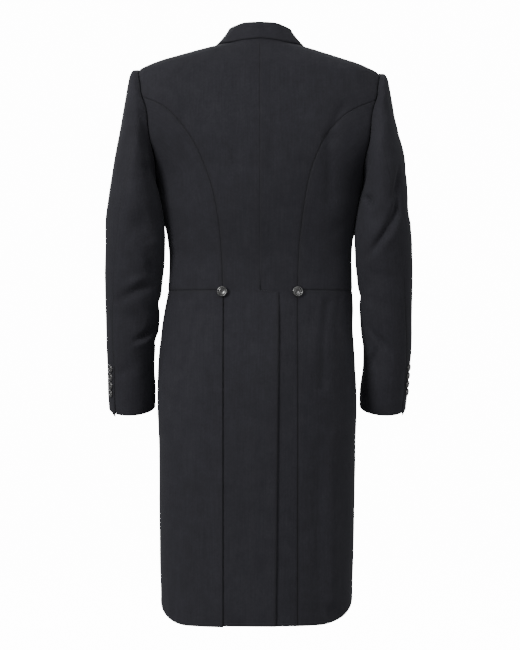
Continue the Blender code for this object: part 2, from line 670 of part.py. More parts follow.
def button(name, size, spot, facing, finish):
    """A turned button: flat base, rounded raised rim and a dished face."""
    radius, thick = size
    mesh = bmesh.new()
    corners = [mesh.verts.new((radius * r, 0, thick * h)) for r, h in BUTTON_SECTION]
    for first, second in zip(corners, corners[1:]):
        mesh.edges.new((first, second))
    piece = keep(name, mesh, finish)
    turned = piece.modifiers.new("Turned", "SCREW")
    turned.steps = turned.render_steps = BUTTON_SIDES
    turned.use_merge_vertices = True
    turned.merge_threshold = 0.00001
    turned.use_smooth_shade = True
    piece.location = spot + facing * BUTTON_SEAT
    piece.rotation_mode = "QUATERNION"
    piece.rotation_quaternion = facing.to_track_quat("Z", "Y")
    return piece


def seat(surface, side, u, v, lift=0.0):
    """Where a button sits, and the way it faces."""
    spot = raised(surface, side, u, v, lift)
    return spot, (raised(surface, side, u, v, lift + 1.0) - spot).normalized()


def finish(name, look):
    colour, roughness = look
    material = bpy.data.materials.new(name)
    material.use_nodes = True
    shader = material.node_tree.nodes["Principled BSDF"]
    shader.inputs["Base Color"].default_value = (*colour, 1)
    shader.inputs["Roughness"].default_value = roughness
    shader.inputs["Metallic"].default_value = 0.0
    return material


def build_body(side, label):
    tail = [(drop - WAIST) / (HEM - WAIST) for drop in TAIL_DROPS] + [1]
    back_rows = even(0, SEAM_END, SEAM_END) + [SEAM_END + share for share in [0.005] + tail]
    lift = flap_lift if side > 0 else None
    panel("back_" + label, side, even(0, 1, 8), back_rows, back_at(side),
          finish("wool_back_" + label, WOOL), lift=lift)
    panel("side_" + label, side, even(0, 1, 8), even(0, 1, SEAM_ROWS), side_at(side),
          finish("wool_side_" + label, WOOL))
    front_rows = even(0, SHOULDER_ROWS + FRONT_ARMHOLE_ROWS + SEAM_ROWS,
                      SHOULDER_ROWS + FRONT_ARMHOLE_ROWS + SEAM_ROWS)
    panel("front_" + label, side, even(0, 1, 9), front_rows, front_at(side),
          finish("wool_front_" + label, WOOL))
    skirt_columns = [0, 0.1, 0.2, 0.32, 0.44, 0.56, 0.68, 0.78, 0.87, 0.94, 0.98, 1]
    panel("skirt_" + label, side, skirt_columns, [0] + tail, skirt_at(side),
          finish("wool_skirt_" + label, WOOL), lift=skirt_lift)
    lapel("lapel_" + label, side, [-2, -1, -0.5, 0, 0.14, 0.28, 0.42, 0.55, 0.7, 0.85, 1],
          even(0, 1, 12), finish("silk_lapel_" + label, SILK))


def build_sleeve(side, label):
    back_turns = even(0, radians(BACK_SEAM_TURN), ARMHOLE_ROWS)
    under_turns = even(radians(BACK_SEAM_TURN), radians(UNDERARM_TURN), 8)
    front_turns = even(radians(UNDERARM_TURN), radians(359.99), FRONT_ARMHOLE_ROWS)
    around = back_turns + under_turns[1:] + front_turns[1:]
    hind, fore = ARMHOLE_ROWS + 1, ARMHOLE_ROWS + 8 + 2
    top_turns = [turn - radians(359.99) for turn in around[fore:-1]] + around[:hind + 1]
    rows = even(0, SLEEVE_END, SLEEVE_END)
    sleeve_half("sleeve_top_" + label, side, top_turns, rows, finish("wool_sleeve_top_" + label, WOOL))
    sleeve_half("sleeve_under_" + label, side, around[hind:fore + 1], rows,
                finish("wool_sleeve_under_" + label, WOOL))


def build_buttons(side, label):
    turn = turn_at(side, BACK_BUTTON_X, BACK_BUTTON_DROP)
    spot, facing = seat(body, side, turn, BACK_BUTTON_DROP, BACK_BUTTON_LIFT)
    button("back_button_" + label, BACK_BUTTON, spot, facing, finish("black_back_" + label, BUTTON_BLACK))
    for i in range(4):
        place = CUFF_BUTTON_PLACE + CUFF_BUTTON_STEP * i
        spot, facing = seat(sleeve, side, radians(CUFF_BUTTON_TURN), place)
        button(f"cuff_button_{label}_{i + 1}", CUFF_BUTTON, spot, facing,
               finish(f"black_cuff_{label}_{i + 1}", BUTTON_BLACK))
    for i, (x, drop) in enumerate(FRONT_BUTTONS):
        spot, facing = seat(body, side, turn_at(side, x, drop, ahead=True), drop)
        button(f"front_button_{label}_{i + 1}", FRONT_BUTTON, spot, facing,
               finish(f"black_front_{label}_{i + 1}", BUTTON_BLACK))


for old in list(bpy.data.objects):
    bpy.data.objects.remove(old)
coat = bpy.data.collections.new("White tie tailcoat")
bpy.context.scene.collection.children.link(coat)

for side, label in ((1, "left"), (-1, "right")):
    build_body(side, label)
    build_sleeve(side, label)
    build_buttons(side, label)
collar("collar", [0, 0.15, 0.3, 0.38, 0.42, 0.46, 0.52, 0.64, 0.82, 1],
       even(-1, 1, 24), finish("wool_collar", WOOL))
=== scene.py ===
from bisect import bisect_right
from math import acos, asin, ceil, copysign, cos, exp, hypot, pi, radians, sin

import bmesh
import bpy
import numpy as np
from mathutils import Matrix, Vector, noise


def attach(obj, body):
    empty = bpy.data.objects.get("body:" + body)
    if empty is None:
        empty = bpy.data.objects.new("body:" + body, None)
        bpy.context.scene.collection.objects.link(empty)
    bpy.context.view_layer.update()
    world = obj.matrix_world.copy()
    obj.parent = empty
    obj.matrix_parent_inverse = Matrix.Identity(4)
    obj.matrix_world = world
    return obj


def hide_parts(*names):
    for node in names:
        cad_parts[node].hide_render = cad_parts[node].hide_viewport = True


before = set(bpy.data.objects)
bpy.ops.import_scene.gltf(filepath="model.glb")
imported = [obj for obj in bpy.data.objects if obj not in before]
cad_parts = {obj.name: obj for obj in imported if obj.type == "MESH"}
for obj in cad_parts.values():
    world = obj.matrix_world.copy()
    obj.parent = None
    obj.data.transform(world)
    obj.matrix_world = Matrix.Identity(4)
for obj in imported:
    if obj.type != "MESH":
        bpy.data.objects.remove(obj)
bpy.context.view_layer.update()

# The room: a pale floor that curves up into the wall all round, and soft lights.
# The coat stands as if worn, so the floor lies where the wearer would stand.
FLOOR = -1.46
bowl = bmesh.new()
outline = [(0.0, 0.0), (6.0, 0.0), (7.0, 0.25), (7.7, 0.9), (8.0, 2.0), (8.0, 6.0)]
corners = [bowl.verts.new((across, 0, FLOOR + up)) for across, up in outline]
for near, far in zip(corners, corners[1:]):
    bowl.edges.new((near, far))
bmesh.ops.spin(bowl, geom=bowl.verts[:] + bowl.edges[:], cent=(0, 0, 0), axis=(0, 0, 1),
               angle=2 * pi, steps=96, use_merge=True)
bmesh.ops.recalc_face_normals(bowl, faces=bowl.faces)
floor_data = bpy.data.meshes.new("floor")
bowl.to_mesh(floor_data)
bowl.free()
floor_data.shade_smooth()
floor = bpy.data.objects.new("floor", floor_data)
bpy.context.scene.collection.objects.link(floor)
pale = bpy.data.materials.new("pale floor")
pale.use_nodes = True
pale.node_tree.nodes["Principled BSDF"].inputs["Base Color"].default_value = (0.86, 0.86, 0.86, 1)
pale.node_tree.nodes["Principled BSDF"].inputs["Roughness"].default_value = 0.9
pale.node_tree.nodes["Principled BSDF"].inputs["Emission Color"].default_value = (1, 1, 1, 1)
pale.node_tree.nodes["Principled BSDF"].inputs["Emission Strength"].default_value = 14.0
floor_data.materials.append(pale)
floor.visible_diffuse = False
floor.visible_glossy = False
floor.visible_shadow = False

eye = bpy.data.cameras.new("camera")
eye.sensor_fit = "VERTICAL"
eye.sensor_height = 36.0
eye.lens = 136.2
eye.clip_end = 60.0
camera = bpy.data.objects.new("camera", eye)
camera.location = (0.0, 4.6, -0.536)
camera.rotation_euler = (pi / 2, 0, pi)
bpy.context.scene.collection.objects.link(camera)
bpy.context.scene.camera = camera

# Lamps: name, place, width, watts
LAMPS = [
    ("key", (3.2, 3.2, 1.2), 1.4, 145),
    ("glint", (-1.15, 4.25, 0.65), 1.2, 20),
    ("fill", (-3.8, 1.4, 0.4), 2.4, 22),
    ("front", (0.8, -3.8, 1.2), 2.6, 60),
    ("above", (0.6, 1.2, 3.0), 2.0, 20),
]
for lamp_name, spot, wide, watts in LAMPS:
    lamp_data = bpy.data.lights.new(lamp_name, "AREA")
    lamp_data.size = wide
    lamp_data.energy = watts
    lamp = bpy.data.objects.new(lamp_name, lamp_data)
    lamp.location = spot
    lamp.rotation_mode = "QUATERNION"
    lamp.rotation_quaternion = (Vector(spot) - Vector((0, 0, -0.5))).to_track_quat("Z", "Y")
    lamp.visible_camera = False
    bpy.context.scene.collection.objects.link(lamp)
world = bpy.data.worlds.new("room")
world.use_nodes = True
world.node_tree.nodes["Background"].inputs["Color"].default_value = (1, 1, 1, 1)
world.node_tree.nodes["Background"].inputs["Strength"].default_value = 0.30
bpy.context.scene.world = world


# The two back panels: fine dark wool, cut to the centre line and joined by a plain pressed seam
# down to the waist. Below it the left one runs on as a flap over the right one. Every panel of
# the body is a stretch of the same level rings, and each piece is a thin wall between its seams.
CLOTH = 0.0014            # wall of every cloth piece
SEAM_LAP = 0.0003         # how far the hidden side of a piece runs on past its seam
LAP = 0.0020              # how far a piece that lies on another is moved out
WAIST = 0.472             # drop of the waist seam
HEM = 1.0865              # drop of the hem at the back
ROUND = 2.3               # exponent of the rings: 2 is an ellipse, more is squarer
STEP = 0.0005             # step used to find how a surface faces
CELL = 0.0036             # spacing of the mesh over the cloth
EDGE_STEPS = [0.0005, 0.0011, 0.0020, 0.0034]     # closer spacing beside an edge

# Rings of the body: drop, half width behind and ahead, depth behind and ahead, sideways drift
BODY = [
    (0.0000, 0.0640, 0.0640, 0.055, 0.035, 0.0000),
    (0.0120, 0.0740, 0.0740, 0.060, 0.045, 0.0000),
    (0.0180, 0.0973, 0.0973, 0.064, 0.050, 0.0000),
    (0.0257, 0.1270, 0.1270, 0.069, 0.057, 0.0000),
    (0.0332, 0.1550, 0.1550, 0.074, 0.063, 0.0000),
    (0.0406, 0.1814, 0.1814, 0.079, 0.069, 0.0000),
    (0.0481, 0.2020, 0.2020, 0.084, 0.075, 0.0000),
    (0.0590, 0.2245, 0.2245, 0.089, 0.084, 0.0000),
    (0.0850, 0.2450, 0.2285, 0.097, 0.100, 0.0000),
    (0.1144, 0.2585, 0.2290, 0.104, 0.114, 0.0000),
    (0.1500, 0.2560, 0.2215, 0.109, 0.127, 0.0000),
    (0.1875, 0.2425, 0.2105, 0.113, 0.137, 0.0000),
    (0.2200, 0.2184, 0.2015, 0.113, 0.140, 0.0000),
    (0.2450, 0.2015, 0.1970, 0.112, 0.140, 0.0000),
    (0.2620, 0.1940, 0.1940, 0.111, 0.139, 0.0000),
    (0.3167, 0.1852, 0.1852, 0.104, 0.133, 0.0000),
    (0.3766, 0.1732, 0.1732, 0.095, 0.125, -0.0004),
    (0.4140, 0.1706, 0.1706, 0.090, 0.120, -0.0010),
    (0.4720, 0.1724, 0.1724, 0.088, 0.118, -0.0003),
    (0.5075, 0.1764, 0.1764, 0.094, 0.120, 0.0020),
    (0.5450, 0.1789, 0.1789, 0.104, 0.125, 0.0052),
    (0.6010, 0.1836, 0.1836, 0.118, 0.130, 0.0062),
    (0.6758, 0.1864, 0.1864, 0.125, 0.130, 0.0057),
    (0.7693, 0.1836, 0.1836, 0.123, 0.130, 0.0050),
    (0.8628, 0.1827, 0.1827, 0.120, 0.130, 0.0057),
    (0.9564, 0.1812, 0.1812, 0.117, 0.130, 0.0062),
    (1.0312, 0.1792, 0.1792, 0.115, 0.130, 0.0064),
    (1.1000, 0.1782, 0.1782, 0.114, 0.130, 0.0064),
]
# Soft folds of the body: side, x and drop of the upper end, x and drop of the lower end,
# half width, depth (negative is a trough)
FOLDS = [
    (1, 0.142, 0.492, 0.164, 0.680, 0.011, -0.0030),
    (1, 0.109, 0.508, 0.136, 0.620, 0.010, -0.0024),
    (1, 0.122, 0.500, 0.150, 0.660, 0.010, 0.0024),
    (-1, 0.126, 0.500, 0.120, 0.650, 0.010, -0.0028),
    (-1, 0.138, 0.740, 0.138, 1.040, 0.013, 0.0040),
    (-1, 0.112, 0.760, 0.114, 1.060, 0.012, -0.0024),
    (1, 0.120, 0.760, 0.126, 1.050, 0.018, 0.0026),
    (-1, 0.150, 0.135, 0.122, 0.190, 0.008, -0.0030),
    (-1, 0.130, 0.190, 0.128, 0.300, 0.011, -0.0030),
    (1, 0.140, 0.200, 0.132, 0.300, 0.012, -0.0020),
    (1, 0.040, 0.060, 0.045, 0.240, 0.012, -0.0016),
    (-1, 0.022, 0.060, 0.024, 0.240, 0.010, -0.0016),
]
# Softer, finer creases that only show: the same columns, then how far the line bows sideways
WRINKLES = [
    (1, 0.060, 0.020, 0.150, 0.030, 0.012, 0.0012, 0.0),
    (-1, 0.080, 0.082, 0.066, 0.110, 0.006, -0.0016, 0.002),
    (-1, 0.150, 0.180, 0.118, 0.215, 0.010, -0.0018, 0.004),
    (1, 0.150, 0.150, 0.132, 0.185, 0.009, -0.0018, -0.003),
    (1, 0.160, 0.330, 0.120, 0.380, 0.014, -0.0016, 0.006),
    (-1, 0.160, 0.340, 0.125, 0.385, 0.014, -0.0016, 0.006),
    (1, 0.165, 0.400, 0.110, 0.430, 0.012, -0.0014, 0.004),
    (-1, 0.165, 0.395, 0.115, 0.435, 0.012, -0.0014, 0.004),
    (1, 0.092, 0.492, 0.106, 0.590, 0.007, -0.0018, 0.004),
    (1, 0.132, 0.486, 0.158, 0.560, 0.007, 0.0014, 0.004),
    (-1, 0.104, 0.488, 0.100, 0.560, 0.007, -0.0014, 0.003),
    (-1, 0.148, 0.486, 0.152, 0.580, 0.008, -0.0014, 0.003),
    (1, 0.086, 0.700, 0.090, 1.020, 0.012, -0.0014, 0.004),
    (-1, 0.080, 0.620, 0.084, 0.900, 0.012, 0.0012, 0.004),
]
# Fullness of the body below the arms: side, y and drop of its middle, half width, half height, how far it stands out
FULLNESS = [
    (1, -0.030, 0.277, 0.020, 0.018, 0.0075),
    (-1, -0.030, 0.279, 0.020, 0.022, 0.0125),
    (1, -0.030, 0.350, 0.020, 0.014, 0.0030),
    (-1, -0.030, 0.362, 0.020, 0.014, 0.0040),
]


class Track:
    """The columns of a table, read smoothly between its rows by the first column."""

    def __init__(self, rows):
        self.keys = [row[0] for row in rows]
        self.columns = [[row[i] for row in rows] for i in range(1, len(rows[0]))]
        self.slopes = [self.level(column) for column in self.columns]

    def level(self, column):
        keys = self.keys
        rises = [(column[i + 1] - column[i]) / (keys[i + 1] - keys[i]) for i in range(len(keys) - 1)]
        slopes = [rises[0]]
        for before, after in zip(rises, rises[1:]):
            slopes.append(2 * before * after / (before + after) if before * after > 0 else 0.0)
        return slopes + [rises[-1]]

    def read(self, key):
        keys = self.keys
        i = min(max(bisect_right(keys, key) - 1, 0), len(keys) - 2)
        span = keys[i + 1] - keys[i]
        u = min(max((key - keys[i]) / span, 0.0), 1.0)
        found = []
        for column, slopes in zip(self.columns, self.slopes):
            start, end = column[i], column[i + 1]
            found.append(start * (1 + 2 * u) * (1 - u) ** 2 + end * u * u * (3 - 2 * u)
                         + span * u * (1 - u) * (slopes[i] * (1 - u) - slopes[i + 1] * u))
        return found

body_track = Track(BODY)


def smooth(u):
    u = min(max(u, 0.0), 1.0)
    return u * u * (3 - 2 * u)


def mix(start, end, share):
    return start + (end - start) * share


def crease(x, y, ends, width, depth):
    """Height of one soft fold at a point: a rounded line between two ends."""
    ax, ay, bx, by = ends
    length = hypot(bx - ax, by - ay)
    along = min(max(((x - ax) * (bx - ax) + (y - ay) * (by - ay)) / length ** 2, 0.0), 1.0)
    away = hypot(x - mix(ax, bx, along), y - mix(ay, by, along))
    return depth * exp(-(away / width) ** 2) if away < 3 * width else 0.0

def bowed(x, y, ends, width, depth, bow):
    """Height of one crease with a bent line that fades in and out along its length."""
    ax, ay, bx, by = ends
    length = hypot(bx - ax, by - ay)
    along = min(max(((x - ax) * (bx - ax) + (y - ay) * (by - ay)) / length ** 2, 0.0), 1.0)
    off = bow * sin(pi * along)
    near_x = mix(ax, bx, along) - off * (by - ay) / length
    near_y = mix(ay, by, along) + off * (bx - ax) / length
    away = hypot(x - near_x, y - near_y) / (width * (0.7 + 0.5 * along))
    return depth * (0.25 + 0.75 * sin(pi * min(max(along, 0.06), 0.94))) * exp(-away ** 2) if away < 3 else 0.0


RIGHT_DROP = 0.0065       # the wearer's right shoulder stands lower and closer than the left one
RIGHT_TUCK = 0.0045


def settle(point):
    """Lower and tuck in the wearer's right shoulder, as the coat stands."""
    out = -point.x
    if out <= 0:
        return point
    low = RIGHT_DROP * smooth(out / 0.21) * smooth((0.50 + point.z) / 0.25)
    tuck = RIGHT_TUCK * smooth((out - 0.17) / 0.07) * smooth((0.62 + point.z) / 0.12)
    return Vector((point.x + tuck, point.y, point.z - low))


def ring(drop, ahead):
    """Half width, depth and drift of the body's ring at a drop, on its back or front half."""
    half_behind, half_ahead, deep_behind, deep_ahead, drift = body_track.read(drop)
    return (half_ahead, deep_ahead, drift) if ahead else (half_behind, deep_behind, drift)


def body(side, turn, drop):
    """A point of the body's outer surface. Turn is 0 at the side and 90 at the centre back."""
    along, deep = cos(turn), sin(turn)
    half, depth, drift = ring(drop, deep < 0)
    x = copysign(abs(along) ** (2 / ROUND), along)
    y = copysign(abs(deep) ** (2 / ROUND), deep)
    point = Vector((drift + side * half * x, y * depth, -drop))
    if deep > 0:
        rise = sum(crease(side * (point.x - drift), drop, fold[1:5], fold[5], fold[6])
                   for fold in FOLDS if fold[0] == side)
        rise += sum(bowed(side * (point.x - drift), drop, fold[1:5], fold[5], fold[6], fold[7])
                    for fold in WRINKLES if fold[0] == side)
        if rise:
            facing = Vector((side * x / half, y / depth, 0)).normalized()
            point += facing * rise
    if deep <= 0:
        point.x += side * sum(full[5] * exp(-((point.y - full[1]) / full[3]) ** 2 - ((drop - full[2]) / full[4]) ** 2)
                              for full in FULLNESS if full[0] == side)
    return settle(point)


def turn_at(side, x, drop, ahead=False):
    """The turn at which a ring reaches a distance from the centre line."""
    half, _, drift = ring(drop, ahead)
    share = (x - side * drift) / half
    turn = acos(copysign(min(abs(share), 1.0) ** (ROUND / 2), share))
    return -turn if ahead else turn


def armhole(turn):
    """Turn and drop on the body of a point of the armhole."""
    middle = (ARMHOLE_TOP + ARMHOLE_BOTTOM) / 2
    drop = middle - (ARMHOLE_BOTTOM - ARMHOLE_TOP) / 2 * cos(turn)
    deep = sin(turn)
    reach = ARMHOLE_BEHIND if deep > 0 else -ARMHOLE_AHEAD
    share = reach * deep / ring(drop, deep < 0)[1]
    return copysign(asin(share ** (ROUND / 2)), deep) if share > 1e-9 else 0.0, drop

def raised(surface, side, u, v, lift):
    """A point moved out from a surface, along the way that the surface faces there."""
    across = surface(side, u + STEP, v) - surface(side, u - STEP, v)
    down = surface(side, u, v + STEP) - surface(side, u, v - STEP)
    facing = down.cross(across).normalized() * side
    return surface(side, u, v) + facing * lift

# Armhole: an upright oval on the body, turned from the shoulder point towards the back
ARMHOLE_TOP = 0.0590
ARMHOLE_BOTTOM = 0.2620
ARMHOLE_BEHIND = 0.0720
ARMHOLE_AHEAD = 0.0620
BACK_SEAM_TURN = 63.0     # where the curved back seam leaves the armhole
# Curved back seam from the armhole to the waist: drop, distance from the centre on each side
BACK_SEAM = [
    (0.1144, 0.2170, 0.2150),
    (0.1244, 0.1935, 0.1910),
    (0.1417, 0.1670, 0.1600),
    (0.1715, 0.1411, 0.1314),
    (0.2050, 0.1190, 0.1110),
    (0.2456, 0.1008, 0.0952),
    (0.2890, 0.0864, 0.0851),
    (0.3420, 0.0765, 0.0775),
    (0.4000, 0.0708, 0.0718),
    (WAIST, 0.0680, 0.0695),
]
back_seam_track = Track(BACK_SEAM)
UNDERLAY = 0.092          # how far the back panel runs under the side tail
FLAP = 0.0348             # how far the left back laps over the right one
FLAP_HEM = 0.0285
FLAP_STAND = 0.0042       # how far the flap's free edge stands off

# Rows of a panel count along its outer edge: shoulder seam, armhole, then the long seam
SHOULDER_ROWS, ARMHOLE_ROWS, SEAM_ROWS = 4, 4, 9
SEAM_START = SHOULDER_ROWS + ARMHOLE_ROWS
SEAM_END = SEAM_START + SEAM_ROWS
FRONT_ARMHOLE_ROWS = 8


def back_seam(side, share):
    """Turn and drop along the curved back seam, from the armhole (0) to the waist (1)."""
    row = min(max(share, 0.0), 1.0) * SEAM_ROWS
    first = min(int(row), SEAM_ROWS - 1)
    column = 0 if side > 0 else 1
    if first == 0:
        start_turn, start_drop = armhole(radians(BACK_SEAM_TURN))
        drop = BACK_SEAM[1][0]
        end_turn = turn_at(side, BACK_SEAM[1][1 + column], drop)
        return mix(start_turn, end_turn, row), mix(start_drop, drop, row)
    drop = mix(BACK_SEAM[first][0], BACK_SEAM[first + 1][0], row - first)
    return turn_at(side, back_seam_track.read(drop)[column], drop), drop

def back_outer(side, row):
    """Turn and drop of the back panel's outer edge, row by row. The tail is the last row."""
    if row <= SHOULDER_ROWS:
        return 0.0, mix(BODY[1][0], ARMHOLE_TOP, row / SHOULDER_ROWS)
    if row <= SEAM_START:
        return armhole(radians(BACK_SEAM_TURN) * (row - SHOULDER_ROWS) / ARMHOLE_ROWS)
    if row <= SEAM_END:
        return back_seam(side, (row - SEAM_START) / SEAM_ROWS)
    drop = mix(WAIST, HEM, row - SEAM_END)
    return turn_at(side, UNDERLAY, drop), drop


def back_at(side):
    """The back panel: 0 is its centre edge and 1 its outer edge."""
    def at(s, row):
        turn, drop = back_outer(side, row)
        inner = 0.0
        if side > 0 and row > SEAM_END:
            inner = -mix(FLAP, FLAP_HEM, row - SEAM_END)
        start = turn_at(side, inner, drop)
        angle = mix(start, turn, s)
        if row < SHOULDER_ROWS:
            rise = BODY[1][0] * sin(angle) ** 2
            drop -= rise * (1 - row / SHOULDER_ROWS) ** 2
        return angle, drop
    return at


def flap_lift(side, turn, drop):
    """The left back rises over the right one where its vent flap laps it."""
    x = side * body(side, turn, drop).x
    stand = mix(LAP, FLAP_STAND, smooth(-x / FLAP) * smooth((drop - WAIST) / 0.060))
    return stand * smooth((0.032 - x) / 0.028) * smooth((drop - 0.435) / 0.035)

def spaced(knots, cell=CELL):
    """Stops through the knots (stop, metres from the one before), a cell apart, closer at both ends."""
    stops = [knots[0][0]]
    for (before, _), (after, metres) in zip(knots, knots[1:]):
        cells = max(1, ceil(metres / cell))
        stops += [mix(before, after, (i + 1) / cells) for i in range(cells)]
    first = (knots[1][0] - knots[0][0]) / knots[1][1]
    last = (knots[-1][0] - knots[-2][0]) / knots[-1][1]
    start, end = stops[0], stops[-1]
    room = EDGE_STEPS[-1] + cell / 2
    between = [stop for stop in stops if start + first * room < stop < end - last * room]
    return ([start] + [start + first * step for step in EDGE_STEPS] + between
            + [end - last * step for step in reversed(EDGE_STEPS)] + [end])


def unit(field):
    return field / np.maximum(np.linalg.norm(field, axis=-1, keepdims=True), 1e-12)


def cloth(name, node, columns, rows, place, look, edges, lift=None, under=None, lumps=0.0004,
          core=0.0, ease=None):
    """A closed wall of cloth over a grid of stops. Place gives the outer face's point for two stops.

    Edges names the four edges (first and last column, first and last row): seam, turned, fold or free.
    Ease weakens an edge's relief by its number and the row's stop. Under, where given, places the
    inner face by itself. Core is the x of the line that the piece stands round.
    """
    shape = (len(columns), len(rows))
    grid = np.array([[place(s, t)[:] for t in rows] for s in columns])
    inner = np.array([[under(s, t)[:] for t in rows] for s in columns]) if under else None
    facing = unit(np.cross(np.gradient(grid, axis=0), np.gradient(grid, axis=1)))
    sense = np.sign(np.sum(facing * (grid - grid.mean(axis=(0, 1)) * np.array([0, 0, 1]) - np.array([core, 0, 0]))))
    facing *= sense
    across = np.zeros(shape)
    across[1:] = np.cumsum(np.linalg.norm(np.diff(grid, axis=0), axis=-1), axis=0)
    down = np.zeros(shape)
    down[:, 1:] = np.cumsum(np.linalg.norm(np.diff(grid, axis=1), axis=-1), axis=1)
    away = [across, across[-1:] - across, down, down[:, -1:] - down]
    height = np.zeros(shape)
    pressed = np.zeros(shape)
    deep = np.zeros(shape)
    for number, (kind, distance) in enumerate(zip(edges, away)):
        weight = np.array([ease(number, t) if ease else 1.0 for t in rows])
        # Seams and turned edges mark a band that wool darkens and smooths: painted shade of the seam's groove, partly
        # the pressed cloth
        if kind == "seam":
            height -= weight * 0.0009 * np.exp(-(distance / 0.0010) ** 2)
            height -= weight * 0.0002 * np.exp(-(distance / 0.004) ** 2)
            height += weight * 0.00018 * np.exp(-((distance - 0.009) / 0.005) ** 2)
            pressed = np.maximum(pressed, weight * np.exp(-(distance / 0.0035) ** 2))
        if kind == "turned":
            height -= weight * 0.0007 * np.exp(-(distance / 0.0007) ** 2)
            height += weight * 0.0002 * np.exp(-((distance - 0.004) / 0.003) ** 2)
            pressed = np.maximum(pressed, 0.7 * weight * np.exp(-(distance / 0.0025) ** 2))
        # A fold edge marks a narrow band that wool paints near-black: painted shadow of the crevice beside the fold
        if kind == "fold":
            height -= weight * 0.0004 * np.exp(-(distance / 0.0006) ** 2)
            deep = np.maximum(deep, weight * np.exp(-(distance / 0.0012) ** 2))
    for i in range(shape[0]):
        for j in range(shape[1]):
            spot = Vector(grid[i, j])
            height[i, j] += lumps * noise.noise(spot * 22.0)
            height[i, j] += 0.35 * lumps * noise.noise(spot * 70.0 + Vector((5, 2, 9)))
            if lift:
                grid[i, j] += facing[i, j] * lift(columns[i], rows[j])
    outer = grid + facing * height[..., None]
    if inner is None:
        inner = grid - facing * CLOTH
        for edge, beside in ((0, 1), (-1, -2)):
            inner[edge] -= unit(inner[beside] - inner[edge]) * SEAM_LAP
            inner[:, edge] -= unit(inner[:, beside] - inner[:, edge]) * SEAM_LAP
    mesh = bmesh.new()
    bmesh.ops.create_grid(mesh, x_segments=shape[0] - 1, y_segments=shape[1] - 1, size=0.5)
    grown = bmesh.ops.extrude_face_region(mesh, geom=mesh.faces[:], use_keep_orig=True)
    raised_verts = [vert for vert in grown["geom"] if isinstance(vert, bmesh.types.BMVert)]
    bmesh.ops.translate(mesh, verts=raised_verts, vec=(0, 0, 1))
    bmesh.ops.recalc_face_normals(mesh, faces=mesh.faces)
    data = bpy.data.meshes.new(name)
    mesh.to_mesh(data)
    mesh.free()
    flat = np.empty(len(data.vertices) * 3)
    data.vertices.foreach_get("co", flat)
    flat = flat.reshape(-1, 3)
    i = np.rint((flat[:, 0] + 0.5) * (shape[0] - 1)).astype(int)
    j = np.rint((flat[:, 1] + 0.5) * (shape[1] - 1)).astype(int)
    top = flat[:, 2] > 0.5
    data.vertices.foreach_set("co", np.where(top[:, None], outer[i, j], inner[i, j]).ravel())
    if sense < 0:
        data.flip_normals()
    for title, values in (("pressed", pressed[i, j]), ("deep", deep[i, j]), ("inside", np.where(top, 0.0, 1.0))):
        data.attributes.new(title, "FLOAT", "POINT").data.foreach_set("value", values.astype(np.float32))
    corner_verts = np.empty(len(data.loops), dtype=np.int32)
    data.loops.foreach_get("vertex_index", corner_verts)
    spread = np.stack([across[i, j], down[i, j]], axis=1)[corner_verts]
    data.uv_layers.new(name="Cut").data.foreach_set("uv", spread.astype(np.float32).ravel())
    data.update()
    data.shade_smooth()
    data.set_sharp_from_angle(angle=radians(60))
    data.materials.append(look)
    piece = bpy.data.objects.new(name, data)
    bpy.context.scene.collection.objects.link(piece)
    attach(piece, "root")
    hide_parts(node)
    return piece


class Reading:
    """A socket in a material's maths. Operators on it add Math nodes, and node adds any other node."""

    def __init__(self, tree, socket=None):
        self.tree = tree
        self.socket = socket

    def join(self, socket, value):
        if isinstance(value, Reading):
            self.tree.links.new(value.socket, socket)
        else:
            socket.default_value = value

    def node(self, kind, settings, inputs, output=0):
        made = self.tree.nodes.new(kind)
        for key, value in settings.items():
            if key == "stops":
                ramp = made.color_ramp
                while len(ramp.elements) < len(value):
                    ramp.elements.new(0.5)
                for element, (position, colour) in zip(ramp.elements, value):
                    element.position = position
                    element.color = (*colour, 1)
            else:
                setattr(made, key, value)
        for key, value in inputs.items():
            self.join(made.inputs[key], value)
        return Reading(self.tree, made.outputs[output])

    def math(self, operation, *values):
        return self.node("ShaderNodeMath", {"operation": operation}, dict(enumerate(values)))

    def __add__(self, other):
        return self.math("ADD", self, other)

    def __radd__(self, other):
        return self.math("ADD", other, self)

    def __sub__(self, other):
        return self.math("SUBTRACT", self, other)

    def __rsub__(self, other):
        return self.math("SUBTRACT", other, self)

    def __mul__(self, other):
        return self.math("MULTIPLY", self, other)

    def __rmul__(self, other):
        return self.math("MULTIPLY", other, self)

    def blend(self, start, end):
        """A colour between two, by this reading."""
        return self.node("ShaderNodeMix", {"data_type": "RGBA"}, {"Factor": self, 6: start, 7: end}, 2)


